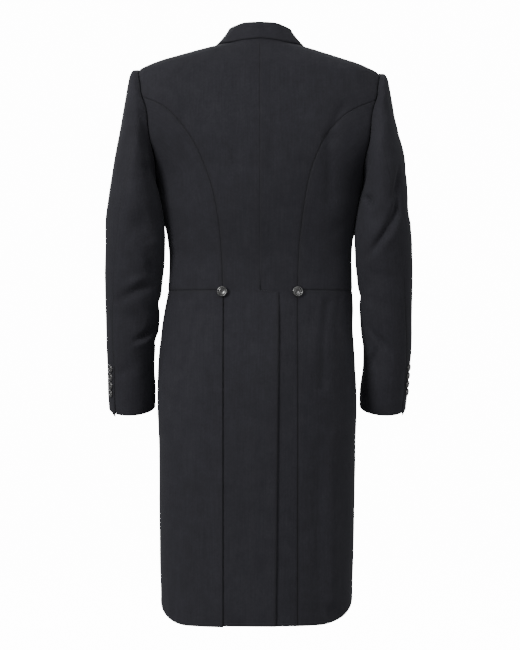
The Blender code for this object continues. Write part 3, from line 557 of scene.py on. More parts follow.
def wool(name):
    """Fine twill with a soft nap outside, and the plain sheen of the lining inside. Beside seams and turned edges the
    colour is darkened as painted shade, partly the pressed cloth, and beside fold edges it is painted near-black as
    shadow.
    """
    look = bpy.data.materials.new(name)
    look.use_nodes = True
    shader = look.node_tree.nodes["Principled BSDF"]
    start = Reading(look.node_tree)
    uv = start.node("ShaderNodeTexCoord", {}, {}, "UV")
    place = start.node("ShaderNodeTexCoord", {}, {}, "Object")
    inside = start.node("ShaderNodeAttribute", {"attribute_name": "inside"}, {}, "Fac")
    pressed = start.node("ShaderNodeAttribute", {"attribute_name": "pressed"}, {}, "Fac")
    deep = start.node("ShaderNodeAttribute", {"attribute_name": "deep"}, {}, "Fac")
    twill = start.node("ShaderNodeTexWave", {"wave_type": "BANDS", "bands_direction": "DIAGONAL"},
                       {"Vector": uv, "Scale": 620.0, "Distortion": 0.6, "Detail": 1.0, "Detail Scale": 2.0}, "Fac")
    fibre = start.node("ShaderNodeTexNoise", {}, {"Vector": uv, "Scale": 1500.0, "Detail": 2.0, "Roughness": 0.6}, "Fac")
    heather = start.node("ShaderNodeTexNoise", {}, {"Vector": place, "Scale": 260.0, "Detail": 3.0, "Roughness": 0.7}, "Fac")
    shade = start.node("ShaderNodeTexNoise", {}, {"Vector": place, "Scale": 9.0, "Detail": 3.0, "Roughness": 0.55}, "Fac")
    cloud = start.node("ShaderNodeTexNoise", {}, {"Vector": place, "Scale": 45.0, "Detail": 2.0, "Roughness": 0.5}, "Fac")
    drawn = start.node("ShaderNodeMapping", {}, {"Vector": uv, "Scale": (420.0, 14.0, 1.0)})
    streak = start.node("ShaderNodeTexNoise", {}, {"Vector": drawn, "Scale": 1.0, "Detail": 2.0}, "Fac")
    tone = shade * 0.25 + cloud * 0.20 + heather * 0.35 + streak * 0.20
    outside = start.node("ShaderNodeValToRGB", {"stops": [
        (0.32, (0.0168, 0.0164, 0.0208)), (0.50, (0.0240, 0.0236, 0.0298)), (0.68, (0.0328, 0.0325, 0.0405))]},
        {"Fac": tone}, "Color")
    # Painted shade along seams and turned edges, partly the pressed cloth
    seam_shaded = (pressed * 0.55).blend(outside, (0.0150, 0.0150, 0.0180, 1))
    lined = inside.blend(seam_shaded, (0.0130, 0.0130, 0.0150, 1))
    # Painted shadow: near-black in the crevice beside a fold edge
    colour = deep.blend(lined, (0.0030, 0.0030, 0.0034, 1))
    shader.inputs["Metallic"].default_value = 0.0
    shader.inputs["Sheen Weight"].default_value = 0.06
    shader.inputs["Sheen Roughness"].default_value = 0.5
    shader.inputs["Sheen Tint"].default_value = (0.80, 0.84, 0.92, 1)
    shader.inputs["Specular IOR Level"].default_value = 0.25
    start.join(shader.inputs["Base Color"], colour)
    start.join(shader.inputs["Roughness"], 0.78 + heather * 0.16 - pressed * 0.10 - inside * 0.42)
    weave = twill * 0.45 + fibre * 0.55 + heather * 0.5
    bump = start.node("ShaderNodeBump", {}, {"Strength": 0.35, "Distance": 0.0004, "Height": weave * (1 - inside * 0.8)},
                      "Normal")
    start.join(shader.inputs["Normal"], bump)
    return look


SIDES = ((1, "left"), (-1, "right"))
tail_length = HEM - WAIST
for side, label in SIDES:
    seam_drops = [row[0] for row in BACK_SEAM]
    knots = [(0, 0)] + [(row + 1, 0.030) for row in range(SHOULDER_ROWS)]
    knots += [(SHOULDER_ROWS + row + 1, 0.022) for row in range(ARMHOLE_ROWS)]
    knots += [(SEAM_START + row + 1, max(0.012, after - before))
              for row, (before, after) in enumerate(zip(seam_drops, seam_drops[1:]))]
    knots += [(SEAM_END + 1, tail_length)]
    back_at_side = back_at(side)
    left = side > 0

    def back_place(s, row):
        return body(side, *back_at_side(s, row))

    def back_lift(s, row):
        return flap_lift(side, *back_at_side(s, row)) if left else 0.0

    def centre_ease(edge, row):
        return 1.0 if edge or row > SEAM_END else 0.45

    piece = cloth("back_cloth_" + label, "back_" + label, spaced([(0, 0), (1, 0.165)]), spaced(knots),
                  back_place, wool("wool back " + label), ("seam", "seam", "seam", "turned"), lift=back_lift,
                  ease=centre_ease)


# The two side bodies: wool, between the curved back seam and the underarm seam, from the
# armhole to the waist. They are sewn along all four edges.
UNDERARM_TURN = 208.0     # where the underarm seam leaves the armhole
def underarm_seam(share):
    start_turn, start_drop = armhole(radians(UNDERARM_TURN))
    return mix(start_turn, radians(-14), share), mix(start_drop, WAIST, share)

def side_at(side):
    """The side body: 0 is the curved back seam and 1 the underarm seam."""
    def top(s):
        return Vector(armhole(radians(mix(BACK_SEAM_TURN, UNDERARM_TURN, s))))

    def at(s, t):
        left, right = Vector(back_seam(side, t)), Vector(underarm_seam(t))
        upper = top(s)
        lower = mix(Vector(back_seam(side, 1)), Vector(underarm_seam(1)), s)
        corners = mix(mix(top(0), top(1), s), lower, t)
        place = mix(left, right, s) + mix(upper, lower, t) - corners
        return place.x, place.y
    return at

for side, label in SIDES:
    side_at_side = side_at(side)

    def side_place(s, t):
        return body(side, *side_at_side(s, t))

    piece = cloth("side_cloth_" + label, "side_" + label, spaced([(0, 0), (1, 0.165)]), spaced([(0, 0), (1, 0.26)]),
                  side_place, wool("wool side " + label), ("seam", "seam", "seam", "seam"))


# The two fronts: wool, from the shoulder seam to the waist, where they are cut off square with a
# small point. Their front edge turns in under the lapel, and below the lapel it is turned and pressed.
# Front edge of the front: drop, distance from the centre
FRONT_EDGE = [
    (0.0120, 0.0740),
    (0.0180, 0.0738),
    (0.0300, 0.0735),
    (0.0550, 0.0725),
    (0.0850, 0.0712),
    (0.1300, 0.0705),
    (0.2000, 0.0720),
    (0.2800, 0.0755),
    (0.3600, 0.0805),
    (0.4200, 0.0870),
    (WAIST, 0.0950),
    (0.5000, 0.1000),
]
FRONT_TOP = 0.0135        # drop of the front's upper edge beside the neck
FRONT_POINT = 0.016       # how much lower the front reaches at its front corner
front_edge_track = Track(FRONT_EDGE)


def front_outer(row):
    """Turn and drop of the front's outer edge, row by row."""
    if row <= SHOULDER_ROWS:
        return 0.0, mix(FRONT_TOP, ARMHOLE_TOP, row / SHOULDER_ROWS)
    if row <= SHOULDER_ROWS + FRONT_ARMHOLE_ROWS:
        share = (row - SHOULDER_ROWS) / FRONT_ARMHOLE_ROWS
        return armhole(radians(mix(359.99, UNDERARM_TURN, share)))
    return underarm_seam((row - SHOULDER_ROWS - FRONT_ARMHOLE_ROWS) / SEAM_ROWS)


def front_at(side):
    """The front: 0 is its front edge and 1 its outer edge."""
    def at(s, row):
        turn, drop = front_outer(row)
        start = turn_at(side, front_edge_track.read(drop)[0], drop, ahead=True)
        angle = mix(start, turn, s)
        low = smooth((-angle - radians(39)) / radians(26))
        share = max(0.0, (row - SHOULDER_ROWS - FRONT_ARMHOLE_ROWS) / SEAM_ROWS)
        return angle, drop + FRONT_POINT * low * share ** 3
    return at

for side, label in SIDES:
    front_at_side = front_at(side)

    def front_place(s, row):
        return body(side, *front_at_side(s, row))

    knots = [(0, 0)] + [(row + 1, 0.034) for row in range(SHOULDER_ROWS)]
    knots += [(SHOULDER_ROWS + row + 1, 0.030) for row in range(FRONT_ARMHOLE_ROWS)]
    knots += [(SHOULDER_ROWS + FRONT_ARMHOLE_ROWS + SEAM_ROWS, 0.22)]
    piece = cloth("front_cloth_" + label, "front_" + label, spaced([(0, 0), (1, 0.165)]), spaced(knots),
                  front_place, wool("wool front " + label), ("turned", "seam", "seam", "turned"))


# The two side tails: wool, sewn to the body along the waist. Their back edge is the fold of the
# pleat, which lies over the back panel, and their front edge slants from the hip to the hem.
# Side tails: drop, turn of the front edge from the wearer's side towards the front
TAIL_FRONT = [
    (WAIST, -36.0),
    (0.550, -27.0),
    (0.650, -19.0),
    (0.750, -13.0),
    (0.850, -8.0),
    (0.950, -4.0),
    (1.100, -0.5),
]
PLEAT_EDGE = {1: 0.0672, -1: 0.0680}
# Hem of the side tails: how far below the back hem it starts, where it starts to rise, how far
HEM_RISE = {1: (0.0015, 0.36, 0.041), -1: (-0.0005, 0.22, 0.045)}
tail_track = Track(TAIL_FRONT)


def skirt_at(side):
    """The side tail: 0 is the pleat edge and 1 the front edge."""
    below, start_share, rise = HEM_RISE[side]

    def at(s, t):
        bend = max(0.0, (s - start_share) / (1 - start_share))
        hem = HEM + below - rise * bend ** 1.7
        drop = mix(WAIST, hem, t)
        start = turn_at(side, PLEAT_EDGE[side], drop)
        return mix(start, radians(tail_track.read(drop)[0]), s), drop
    return at


def skirt_lift(side, turn, drop):
    """The side tail lies over the back panel's underlay and comes down to the body past it."""
    x = side * body(side, turn, drop).x
    return LAP * smooth((0.140 - x) / 0.042) if turn > 0 else 0.0

for side, label in SIDES:
    skirt_at_side = skirt_at(side)

    def skirt_place(s, t):
        return body(side, *skirt_at_side(s, t))

    def skirt_rise(s, t):
        return skirt_lift(side, *skirt_at_side(s, t))

    piece = cloth("tail_cloth_" + label, "skirt_" + label, spaced([(0, 0), (1, 0.22)]), spaced([(0, 0), (1, tail_length)]),
                  skirt_place, wool("wool tail " + label), ("fold", "turned", "seam", "turned"), lift=skirt_rise)


# The lapels: black silk over the front, rolled out round its edge. Each ends at the notch below
# the collar and narrows down to the lowest turn of the roll.
# Lapel: the roll line's ends, the notch, the tip, and the outer edge below the tip
ROLL_TOP = 0.0790
ROLL_END = 0.3720
NOTCH = (0.120, 0.0925)
NOTCH_SHARE = 0.55        # where the notch lies across the lapel's upper edge
LAPEL_EDGE = [
    (0.0700, 0.1600),
    (0.1100, 0.1565),
    (0.1600, 0.1490),
    (0.2150, 0.1380),
    (0.2750, 0.1220),
    (0.3300, 0.1030),
    (0.3680, 0.0875),
]
lapel_track = Track(LAPEL_EDGE)


def lapel_at(side):
    """The lapel on the front: 0 is the roll line and 1 the outer edge."""
    def at(s, t):
        roll_drop = mix(ROLL_TOP, ROLL_END, t)
        edge_drop = mix(LAPEL_EDGE[0][0], LAPEL_EDGE[-1][0], t)
        corner_x = front_edge_track.read(ROLL_TOP)[0]
        if s < NOTCH_SHARE:
            share = s / NOTCH_SHARE
            top_x, top_drop = mix(corner_x, NOTCH[0], share), mix(ROLL_TOP, NOTCH[1], share)
        else:
            share = (s - NOTCH_SHARE) / (1 - NOTCH_SHARE)
            top_x, top_drop = mix(NOTCH[0], LAPEL_EDGE[0][1], share), mix(NOTCH[1], LAPEL_EDGE[0][0], share)
        plain_x = mix(corner_x, LAPEL_EDGE[0][1], s)
        plain_drop = mix(ROLL_TOP, LAPEL_EDGE[0][0], s)
        fade = (1 - t) ** 2
        x = mix(front_edge_track.read(roll_drop)[0], lapel_track.read(edge_drop)[0], s)
        x += (top_x - plain_x) * fade
        drop = mix(roll_drop, edge_drop, s) + (top_drop - plain_drop) * fade
        return turn_at(side, x, drop, ahead=True), drop
    return at

def silk(name):
    """Black satin with very fine cross ribs."""
    look = bpy.data.materials.new(name)
    look.use_nodes = True
    shader = look.node_tree.nodes["Principled BSDF"]
    start = Reading(look.node_tree)
    uv = start.node("ShaderNodeTexCoord", {}, {}, "UV")
    place = start.node("ShaderNodeTexCoord", {}, {}, "Object")
    pressed = start.node("ShaderNodeAttribute", {"attribute_name": "pressed"}, {}, "Fac")
    rib = start.node("ShaderNodeTexWave", {"wave_type": "BANDS", "bands_direction": "Y"},
                     {"Vector": uv, "Scale": 420.0, "Distortion": 0.4, "Detail": 1.0}, "Fac")
    cloud = start.node("ShaderNodeTexNoise", {}, {"Vector": place, "Scale": 30.0, "Detail": 3.0}, "Fac")
    colour = cloud.blend((0.014, 0.014, 0.016, 1), (0.022, 0.022, 0.025, 1))
    shader.inputs["Metallic"].default_value = 0.0
    shader.inputs["Sheen Weight"].default_value = 0.15
    shader.inputs["Specular IOR Level"].default_value = 0.55
    start.join(shader.inputs["Base Color"], colour)
    start.join(shader.inputs["Roughness"], 0.34 + cloud * 0.10 + pressed * 0.12)
    bump = start.node("ShaderNodeBump", {}, {"Strength": 0.25, "Distance": 0.0002, "Height": rib}, "Normal")
    start.join(shader.inputs["Normal"], bump)
    return look


def lapel_face(side, s, t, out):
    """A point of the lapel: columns below 0 are the roll round the front's edge."""
    u, v = lapel_at(side)(max(s, 0.0), t)
    if s >= 0:
        return raised(body, side, u, v, out)
    edge = raised(body, side, u, v, 0.0)
    up = raised(body, side, u, v, 1.0) - edge
    inward = (body(side, u - 1e-3, v) - body(side, u, v)).normalized()
    angle = radians(90) * min(-s, 1.0)
    deeper = max(-s - 1, 0.0) * CLOTH
    return edge + up * (out * cos(angle) - deeper) + inward * (out * sin(angle))


for side, label in SIDES:
    def lapel_outer(s, t):
        return lapel_face(side, s, t, LAP)

    def lapel_inner(s, t):
        return lapel_face(side, s, t, LAP - CLOTH)

    roll = [-2, -1.6, -1.2, -1, -0.85, -0.7, -0.55, -0.4, -0.25, -0.12]
    columns = roll + [0] + [stop for stop in spaced([(0, 0), (0.55, 0.040), (1, 0.036)]) if stop > 0.02]
    piece = cloth("lapel_cloth_" + label, "lapel_" + label, columns, spaced([(0, 0), (1, 0.30)]),
                  lapel_outer, silk("silk lapel " + label), ("free", "turned", "seam", "turned"), under=lapel_inner,
                  lumps=0.0001)


# The collar: one band of wool that stands up from the neck seam, folds over and falls to its
# edge on the shoulders. Its ends meet the lapels in the notch.
COLLAR_LIFT = 0.0027      # how far the collar's edge stands off the body
COLLAR_FOLD = 0.42        # share of the collar between its seam and its fold
COLLAR_ROLL = 0.0026      # radius of that fold

# Collar from the centre back (0) to its front end (1): fold x, y, drop; edge x, drop; bow
COLLAR = [
    (0.00, 0.0000, 0.0505, -0.0256, 0.0000, 0.0060, 0.0025),
    (0.20, 0.0260, 0.0465, -0.0248, 0.0345, 0.0096, 0.0025),
    (0.38, 0.0445, 0.0340, -0.0205, 0.0605, 0.0140, 0.0030),
    (0.50, 0.0560, 0.0140, -0.0168, 0.0770, 0.0132, -0.0010),
    (0.60, 0.0590, -0.0080, -0.0128, 0.0910, 0.0195, -0.0030),
    (0.72, 0.0600, -0.0330, 0.0010, 0.1110, 0.0370, 0.0000),
    (0.85, 0.0650, -0.0590, 0.0330, 0.1190, 0.0600, 0.0020),
    (1.00, 0.0695, -0.0820, 0.0760, 0.1210, 0.0895, 0.0030),
]
collar_track = Track(COLLAR)


def collar_points(q):
    """At a place along the collar: the side, its seam, its fold, its edge and how far its fall bows out."""
    side = 1 if q >= 0 else -1
    q = abs(q)
    fold_x, fold_y, fold_drop, edge_x, edge_drop, bow = collar_track.read(q)
    half_cloth = CLOTH / 2
    if q <= 0.5:
        angle = radians(90) * (1 - q / 0.5)
        drop = BODY[1][0] * cos(angle) ** 2
        seam = raised(body, side, angle, drop, -half_cloth)
    else:
        drop = mix(BODY[1][0], ROLL_TOP - 0.003, (q - 0.5) / 0.5)
        share = smooth((q - 0.5) / 0.05)
        angle = turn_at(side, front_edge_track.read(drop)[0], drop, ahead=True) * share
        seam = raised(body, side, angle, drop, -half_cloth)
    seam = seam + Vector((-side * 0.0026 * smooth((q - 0.30) / 0.12), 0, -0.0002 - 0.0038 * smooth((q - 0.32) / 0.1)))
    fold = settle(Vector((side * fold_x, fold_y, -fold_drop)))
    edge_turn = turn_at(side, edge_x, edge_drop, ahead=True)
    back_turn = turn_at(side, edge_x, edge_drop)
    crossing = smooth((q - 0.42) / 0.14)
    edge = raised(body, side, mix(back_turn, edge_turn, crossing), edge_drop, COLLAR_LIFT)
    return side, seam, fold, edge, bow


def collar_surface(across, q):
    """A point of the collar's middle surface: across is 0 at its seam and 1 at its edge."""
    side, seam, fold, edge, bow = collar_points(q)
    way = (edge - seam).normalized()
    up = (fold - (seam + edge) / 2).normalized()
    if across < COLLAR_FOLD:
        share = across / COLLAR_FOLD
        bulge = COLLAR_ROLL * sin(pi / 2 * share) ** 2 * (1 - share) * 2
        return mix(seam, fold, share) - way * bulge
    share = (across - COLLAR_FOLD) / (1 - COLLAR_FOLD)
    swell = COLLAR_ROLL * 6 * share * max(0.0, 1 - share * 2.2) ** 2
    point = mix(fold, edge, share) + (up + way * 0.4) * (4 * bow * share * (1 - share) + swell)
    if abs(q) > 0.6:
        under = body(side, turn_at(side, abs(point.x), -point.z, ahead=True), -point.z)
        point.y = min(point.y, under.y - LAP * 1.5)
    return point

def collar_place(across, q):
    return collar_surface(min(max(across, 0.0), 1.0), min(max(q, -1.0), 1.0))


across_stops = spaced([(0, 0), (0.30, 0.018), (0.54, 0.036), (1, 0.034)])
piece = cloth("collar_cloth", "collar", across_stops, spaced([(-1, 0), (1, 0.50)]), collar_place,
              wool("wool collar"), ("seam", "turned", "turned", "turned"), lumps=0.0002)


# The sleeves: each of two pieces of wool, the top one outside and the under one inside, sewn
# together before and behind the arm and set into the armhole. Their hems are turned up.
# Sleeve sections: place along the sleeve, then outer x and drop, inner x and drop,
# middle y, half depth, forward lean, and how far the seams have turned (degrees)
SLEEVE = [
    (0, 0.2245, 0.0590, 0.1925, 0.2620, 0.005, 0.0670, 0.00, 0),
    (1, 0.2362, 0.0602, 0.1938, 0.2628, 0.005, 0.0710, 0.00, 0),
    (2, 0.2428, 0.0690, 0.1942, 0.2660, 0.006, 0.0745, 0.00, 0),
    (3, 0.2472, 0.0900, 0.1940, 0.2710, 0.008, 0.0770, 0.00, 1),
    (4, 0.2525, 0.1222, 0.1923, 0.2770, 0.013, 0.0780, 0.00, 3),
    (5, 0.2600, 0.1680, 0.1901, 0.2850, 0.018, 0.0770, 0.00, 6),
    (6, 0.2690, 0.2160, 0.1878, 0.2950, 0.023, 0.0750, 0.00, 9),
    (7, 0.2768, 0.2644, 0.1850, 0.3080, 0.026, 0.0725, 0.00, 13),
    (8, 0.2824, 0.3018, 0.1818, 0.3240, 0.028, 0.0700, 0.00, 17),
    (9, 0.2870, 0.3392, 0.1785, 0.3460, 0.027, 0.0670, 0.00, 21),
    (10, 0.2880, 0.3766, 0.1762, 0.3766, 0.024, 0.0640, 0.02, 25),
    (11, 0.2890, 0.4140, 0.1772, 0.4140, 0.019, 0.0615, 0.04, 29),
    (12, 0.2895, 0.4514, 0.1813, 0.4514, 0.012, 0.0595, 0.07, 32),
    (13, 0.2890, 0.4900, 0.1850, 0.4900, 0.006, 0.0580, 0.10, 35),
    (14, 0.2880, 0.5450, 0.1893, 0.5450, -0.003, 0.0560, 0.14, 38),
    (15, 0.2875, 0.5820, 0.1960, 0.5820, -0.010, 0.0548, 0.18, 40),
    (16, 0.2862, 0.6197, 0.1980, 0.6197, -0.018, 0.0538, 0.22, 42),
    (17, 0.2866, 0.6570, 0.1960, 0.6570, -0.027, 0.0528, 0.25, 43),
    (18, 0.2844, 0.6930, 0.1972, 0.6900, -0.036, 0.0520, 0.27, 44),
]
# Creases of the sleeves, pulled in where the arm bends: side, turn and drop of one end, turn and
# drop of the other, half width, depth (negative is a trough), how far the line bows
CREASES = [
    (1, 116, 0.4480, 84, 0.4660, 0.0085, 0.0050, 0.003),
    (1, 136, 0.4640, 66, 0.4880, 0.0085, -0.0078, 0.004),
    (1, 66, 0.5150, 128, 0.5330, 0.0190, -0.0054, 0.0),
    (1, 100, 0.5640, 156, 0.5380, 0.0065, -0.0088, 0.002),
    (1, 98, 0.5770, 152, 0.5560, 0.0060, 0.0040, 0.002),
    (1, 118, 0.4120, 146, 0.4400, 0.0110, -0.0070, 0.003),
    (1, 128, 0.5050, 160, 0.5100, 0.0120, -0.0036, 0.0),
    (1, 112, 0.2440, 130, 0.2500, 0.0110, -0.0085, 0.0),
    (1, 84, 0.1600, 92, 0.3300, 0.0110, 0.0026, 0.003),
    (1, 86, 0.3560, 130, 0.3420, 0.0230, -0.0050, 0.003),
    (1, 112, 0.3900, 150, 0.3780, 0.0080, 0.0026, 0.002),
    (1, 118, 0.1950, 136, 0.2250, 0.0120, -0.0024, 0.004),
    (1, 172, 0.2600, 172, 0.3620, 0.0140, 0.0016, 0.0),
    (1, 160, 0.4920, 205, 0.5000, 0.0110, -0.0040, 0.0),
    (1, 158, 0.5600, 196, 0.5660, 0.0100, -0.0036, 0.0),
    (1, 60, 0.6300, 110, 0.6050, 0.0120, -0.0024, 0.0),
    (1, 30, 0.4700, 75, 0.5000, 0.0100, -0.0024, 0.003),
    (-1, 44, 0.2440, 68, 0.2960, 0.0070, -0.0080, 0.002),
    (-1, 54, 0.2900, 84, 0.3560, 0.0070, -0.0096, 0.002),
    (-1, 82, 0.3480, 122, 0.4020, 0.0070, -0.0092, 0.003),
    (-1, 58, 0.3380, 104, 0.4080, 0.0090, 0.0036, 0.003),
    (-1, 146, 0.2950, 120, 0.3090, 0.0080, -0.0105, 0.002),
    (-1, 96, 0.3250, 134, 0.3330, 0.0200, -0.0026, 0.0),
    (-1, 132, 0.5440, 90, 0.5860, 0.0075, -0.0080, 0.002),
    (-1, 120, 0.5840, 146, 0.6100, 0.0085, -0.0066, 0.002),
    (-1, 96, 0.4400, 98, 0.5200, 0.0180, 0.0022, 0.0),
    (-1, 0, 0.1700, 0, 0.2500, 0.0260, 0.0048, 0.0),
    (-1, 0, 0.2900, 0, 0.3450, 0.0220, -0.0056, 0.0),
    (-1, 172, 0.2600, 172, 0.3740, 0.0140, 0.0018, 0.0),
    (-1, 125, 0.4350, 70, 0.4600, 0.0120, -0.0026, 0.003),
    (-1, 132, 0.4850, 82, 0.5080, 0.0130, -0.0030, 0.003),
    (-1, 160, 0.4780, 205, 0.4880, 0.0110, -0.0036, 0.0),
    (1, 212, 0.4480, 266, 0.4850, 0.0110, -0.0050, 0.004),
    (1, 250, 0.4220, 306, 0.4560, 0.0130, -0.0048, 0.004),
    (1, 226, 0.3000, 282, 0.3420, 0.0120, -0.0040, 0.004),
    (1, 245, 0.5600, 296, 0.5420, 0.0110, -0.0034, 0.003),
    (-1, 216, 0.4400, 270, 0.4760, 0.0110, -0.0050, 0.004),
    (-1, 252, 0.4160, 300, 0.4420, 0.0130, -0.0046, 0.004),
    (-1, 230, 0.3080, 276, 0.3500, 0.0120, -0.0040, 0.004),
    (-1, 240, 0.5440, 292, 0.5600, 0.0110, -0.0034, 0.003),
    (1, 320, 0.3600, 350, 0.3900, 0.0140, -0.0024, 0.003),
    (-1, 322, 0.3820, 352, 0.4020, 0.0140, -0.0024, 0.003),
]
SLEEVE_END = SLEEVE[-1][0]
HIND_SEAM_TURN = 81.125   # the sleeve's seam behind the arm, where it meets the armhole
FORE_SEAM_TURN = 246.0    # the one in front of the arm
SLEEVE_RADIUS = 0.052     # turns a crease's angle into a distance
RIGHT_CUFF_IN = 0.0095    # how much closer the right cuff hangs
LEFT_CUFF_TURN = 10.0     # degrees that the left cuff is turned further back
sleeve_track = Track(SLEEVE)


def sleeve(side, turn, place):
    """A point of a sleeve's outer surface. Turn is 0 at the outside and 90 behind."""
    outer_x, outer_drop, inner_x, inner_drop, middle, deep, lean, twist = sleeve_track.read(place)
    around = turn - radians(twist)
    if side > 0:
        around += radians(LEFT_CUFF_TURN) * smooth((place - 13.5) / 2.5)
    half_x, half_drop = (outer_x - inner_x) / 2, (outer_drop - inner_drop) / 2
    x = inner_x + half_x + half_x * cos(around)
    drop = inner_drop + half_drop + half_drop * cos(around) + lean * deep * sin(around)
    y = middle + deep * sin(around)
    rise = 0.0
    for fold in CREASES:
        if fold[0] == side:
            middle_turn = radians(fold[1] + fold[3]) / 2
            reach = radians(fold[3] - fold[1]) / 2 * SLEEVE_RADIUS
            away = ((around - middle_turn + pi) % (2 * pi) - pi) * SLEEVE_RADIUS
            rise += bowed(away, drop, (-reach, fold[2], reach, fold[4]), fold[5], fold[6], fold[7])
    x += rise * cos(around)
    y += rise * sin(around)
    if side < 0:
        x -= RIGHT_CUFF_IN * smooth((place - 13.5) / 4.5)
    if place < 2:
        on_body = armhole(turn % (2 * pi))
        fixed = body(1, *on_body)
        ring = SLEEVE[0]
        own = Vector((mix(ring[3], ring[1], 0.5 + 0.5 * cos(turn)), ring[5] + ring[6] * sin(turn),
                      -mix(ring[4], ring[2], 0.5 + 0.5 * cos(turn))))
        shift = (fixed - own) * (1 - place / 2) ** 2
        x, y, drop = x + shift.x, y + shift.y, drop - shift.z
    return settle(Vector((side * x, y, -drop)))

VENT_TOP = 15.25          # place along the sleeve where the cuff's vent starts
VENT_LAP = 0.0006         # how far the top piece stands over the under one there
VENT_TUCK = 0.0060        # how far the under piece goes on beneath the top one
VENT_SINK = 0.0010        # and how deep it lies there
VENT_OPEN = {1: 1.8, -1: 1.0}     # the left vent stands more open, as in the photo
VENT_TIP = 0.0048         # how far its corner hangs below the hem

for side, label in SIDES:
    hind, fore = radians(HIND_SEAM_TURN), radians(FORE_SEAM_TURN)

    def near_vent(turn, wide):
        return exp(-((turn - hind) * SLEEVE_RADIUS / wide) ** 2)

    def top_place(turn, row):
        return sleeve(side, turn, row) - Vector((0, 0, VENT_TIP * smooth(row - 17) * near_vent(turn, 0.009)))

    def under_place(turn, row):
        tuck = VENT_TUCK / SLEEVE_RADIUS * smooth((row - VENT_TOP) / 0.6)
        return sleeve(side, turn - tuck * (1 - smooth((turn - hind) * SLEEVE_RADIUS / 0.009)), row)

    def under_lift(turn, row):
        return (-VENT_SINK * VENT_OPEN[side] * smooth((row - VENT_TOP) / 0.6)
                * (1 - smooth((turn - hind) * SLEEVE_RADIUS / 0.0075)))

    def top_lift(turn, row):
        return VENT_LAP * VENT_OPEN[side] * smooth((row - VENT_TOP) / 0.5) * near_vent(turn, 0.009)

    lengths = [(0, 0)] + [(place + 1, 0.0355) for place in range(SLEEVE_END)]
    def hind_ease(edge, row):
        return 1.0 if edge != hind_edge else mix(0.3, 1.0, smooth((row - 11) / 3))

    hind_edge = 1
    piece = cloth("sleeve_top_cloth_" + label, "sleeve_top_" + label,
                  spaced([(fore - 2 * pi, 0), (hind, 0.20)]), spaced(lengths), top_place,
                  wool("wool sleeve top " + label), ("seam", "seam", "seam", "turned"), lift=top_lift,
                  core=side * 0.235, ease=hind_ease)
    hind_edge = 0
    piece = cloth("sleeve_under_cloth_" + label, "sleeve_under_" + label,
                  spaced([(hind, 0), (fore, 0.17)]), spaced(lengths), under_place,
                  wool("wool sleeve under " + label), ("seam", "seam", "seam", "turned"),
                  lift=under_lift, core=side * 0.235, ease=hind_ease)


# The buttons: polished black horn, turned with a raised rim round a shallow dish over a flat base, and set just
# off the cloth they are sewn to. Two stand at the back waist, four on each cuff and three on each front.
def horn(name):
    look = bpy.data.materials.new(name)
    look.use_nodes = True
    shader = look.node_tree.nodes["Principled BSDF"]
    start = Reading(look.node_tree)
    place = start.node("ShaderNodeTexCoord", {}, {}, "Object")
    cloud = start.node("ShaderNodeTexNoise", {}, {"Vector": place, "Scale": 160.0, "Detail": 4.0}, "Fac")
    fine = start.node("ShaderNodeTexNoise", {}, {"Vector": place, "Scale": 1400.0, "Detail": 2.0}, "Fac")
    shader.inputs["Metallic"].default_value = 0.0
    shader.inputs["Specular IOR Level"].default_value = 1.0
    start.join(shader.inputs["Base Color"], cloud.blend((0.006, 0.006, 0.007, 1), (0.013, 0.012, 0.012, 1)))
    start.join(shader.inputs["Roughness"], 0.22 + cloud * 0.08 + fine * 0.03)
    shader.inputs["Coat Weight"].default_value = 1.0
    shader.inputs["Coat IOR"].default_value = 1.8
    shader.inputs["Coat Roughness"].default_value = 0.2
    return look


BUTTON_SEAT = 0.0003
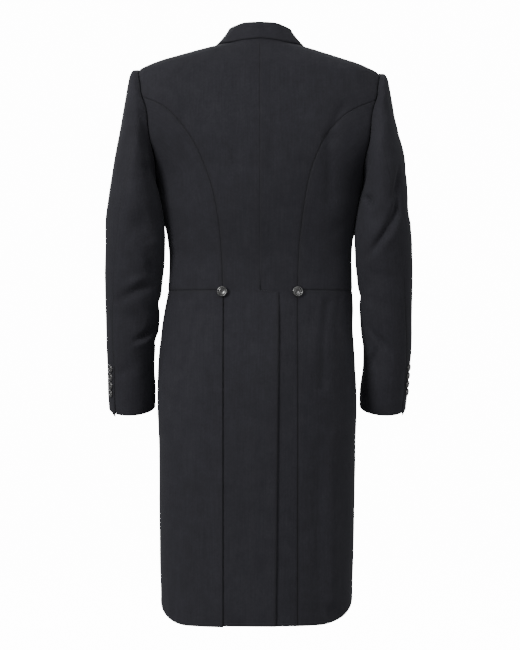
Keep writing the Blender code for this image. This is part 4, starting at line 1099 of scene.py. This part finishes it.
# Turned section of a button, from the dish in its middle over the rim to the middle of its base
SECTION = [
    (0.00, 0.40), (0.12, 0.41), (0.24, 0.44), (0.35, 0.49), (0.45, 0.54), (0.52, 0.57), (0.56, 0.56), (0.59, 0.50),
    (0.62, 0.50), (0.66, 0.66), (0.70, 0.86), (0.75, 0.96), (0.81, 1.00), (0.87, 0.96), (0.93, 0.84), (0.98, 0.62),
    (1.00, 0.42), (0.98, 0.20), (0.92, 0.04), (0.84, 0.00), (0.00, 0.00),
]


def button(name, node, radius, thick, spot, facing):
    """One button, turned to lie on the cloth that carries it."""
    mesh = bmesh.new()
    marks = [mesh.verts.new((radius * r, 0, thick * h)) for r, h in SECTION]
    for near, far in zip(marks, marks[1:]):
        mesh.edges.new((near, far))
    bmesh.ops.spin(mesh, geom=mesh.verts[:] + mesh.edges[:], cent=(0, 0, 0), axis=(0, 0, 1), angle=2 * pi,
                   steps=40, use_merge=True)
    bmesh.ops.remove_doubles(mesh, verts=mesh.verts, dist=1e-6)
    bmesh.ops.recalc_face_normals(mesh, faces=mesh.faces)
    turned = facing.to_track_quat("Z", "Y").to_matrix().to_4x4()
    turned.translation = spot + facing * BUTTON_SEAT
    bmesh.ops.transform(mesh, matrix=turned, verts=mesh.verts)
    data = bpy.data.meshes.new(name)
    mesh.to_mesh(data)
    mesh.free()
    data.shade_smooth()
    data.set_sharp_from_angle(angle=radians(50))
    data.materials.append(horn("horn " + name))
    piece = bpy.data.objects.new(name, data)
    bpy.context.scene.collection.objects.link(piece)
    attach(piece, "root")
    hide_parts(node)


def seat(surface, side, u, v, lift=0.0):
    """Where a button sits, and the way it faces."""
    spot = raised(surface, side, u, v, lift)
    return spot, (raised(surface, side, u, v, lift + 1.0) - spot).normalized()


for side, label in SIDES:
    drop = WAIST + 0.0025
    spot, facing = seat(body, side, turn_at(side, 0.0688, drop), drop, LAP + 0.0009)
    button("waist_button_" + label, "back_button_" + label, 0.0100, 0.0042, spot, facing)
    for i in range(4):
        spot, facing = seat(sleeve, side, radians(69.6), 15.75 + 0.405 * i)
        button(f"wrist_button_{label}_{i + 1}", f"cuff_button_{label}_{i + 1}", 0.0071, 0.0034, spot, facing)
    for i, (x, drop) in enumerate([(0.1210, 0.388), (0.1195, 0.420), (0.1180, 0.452)]):
        spot, facing = seat(body, side, turn_at(side, x, drop, ahead=True), drop)
        button(f"chest_button_{label}_{i + 1}", f"front_button_{label}_{i + 1}", 0.0100, 0.0042, spot, facing)
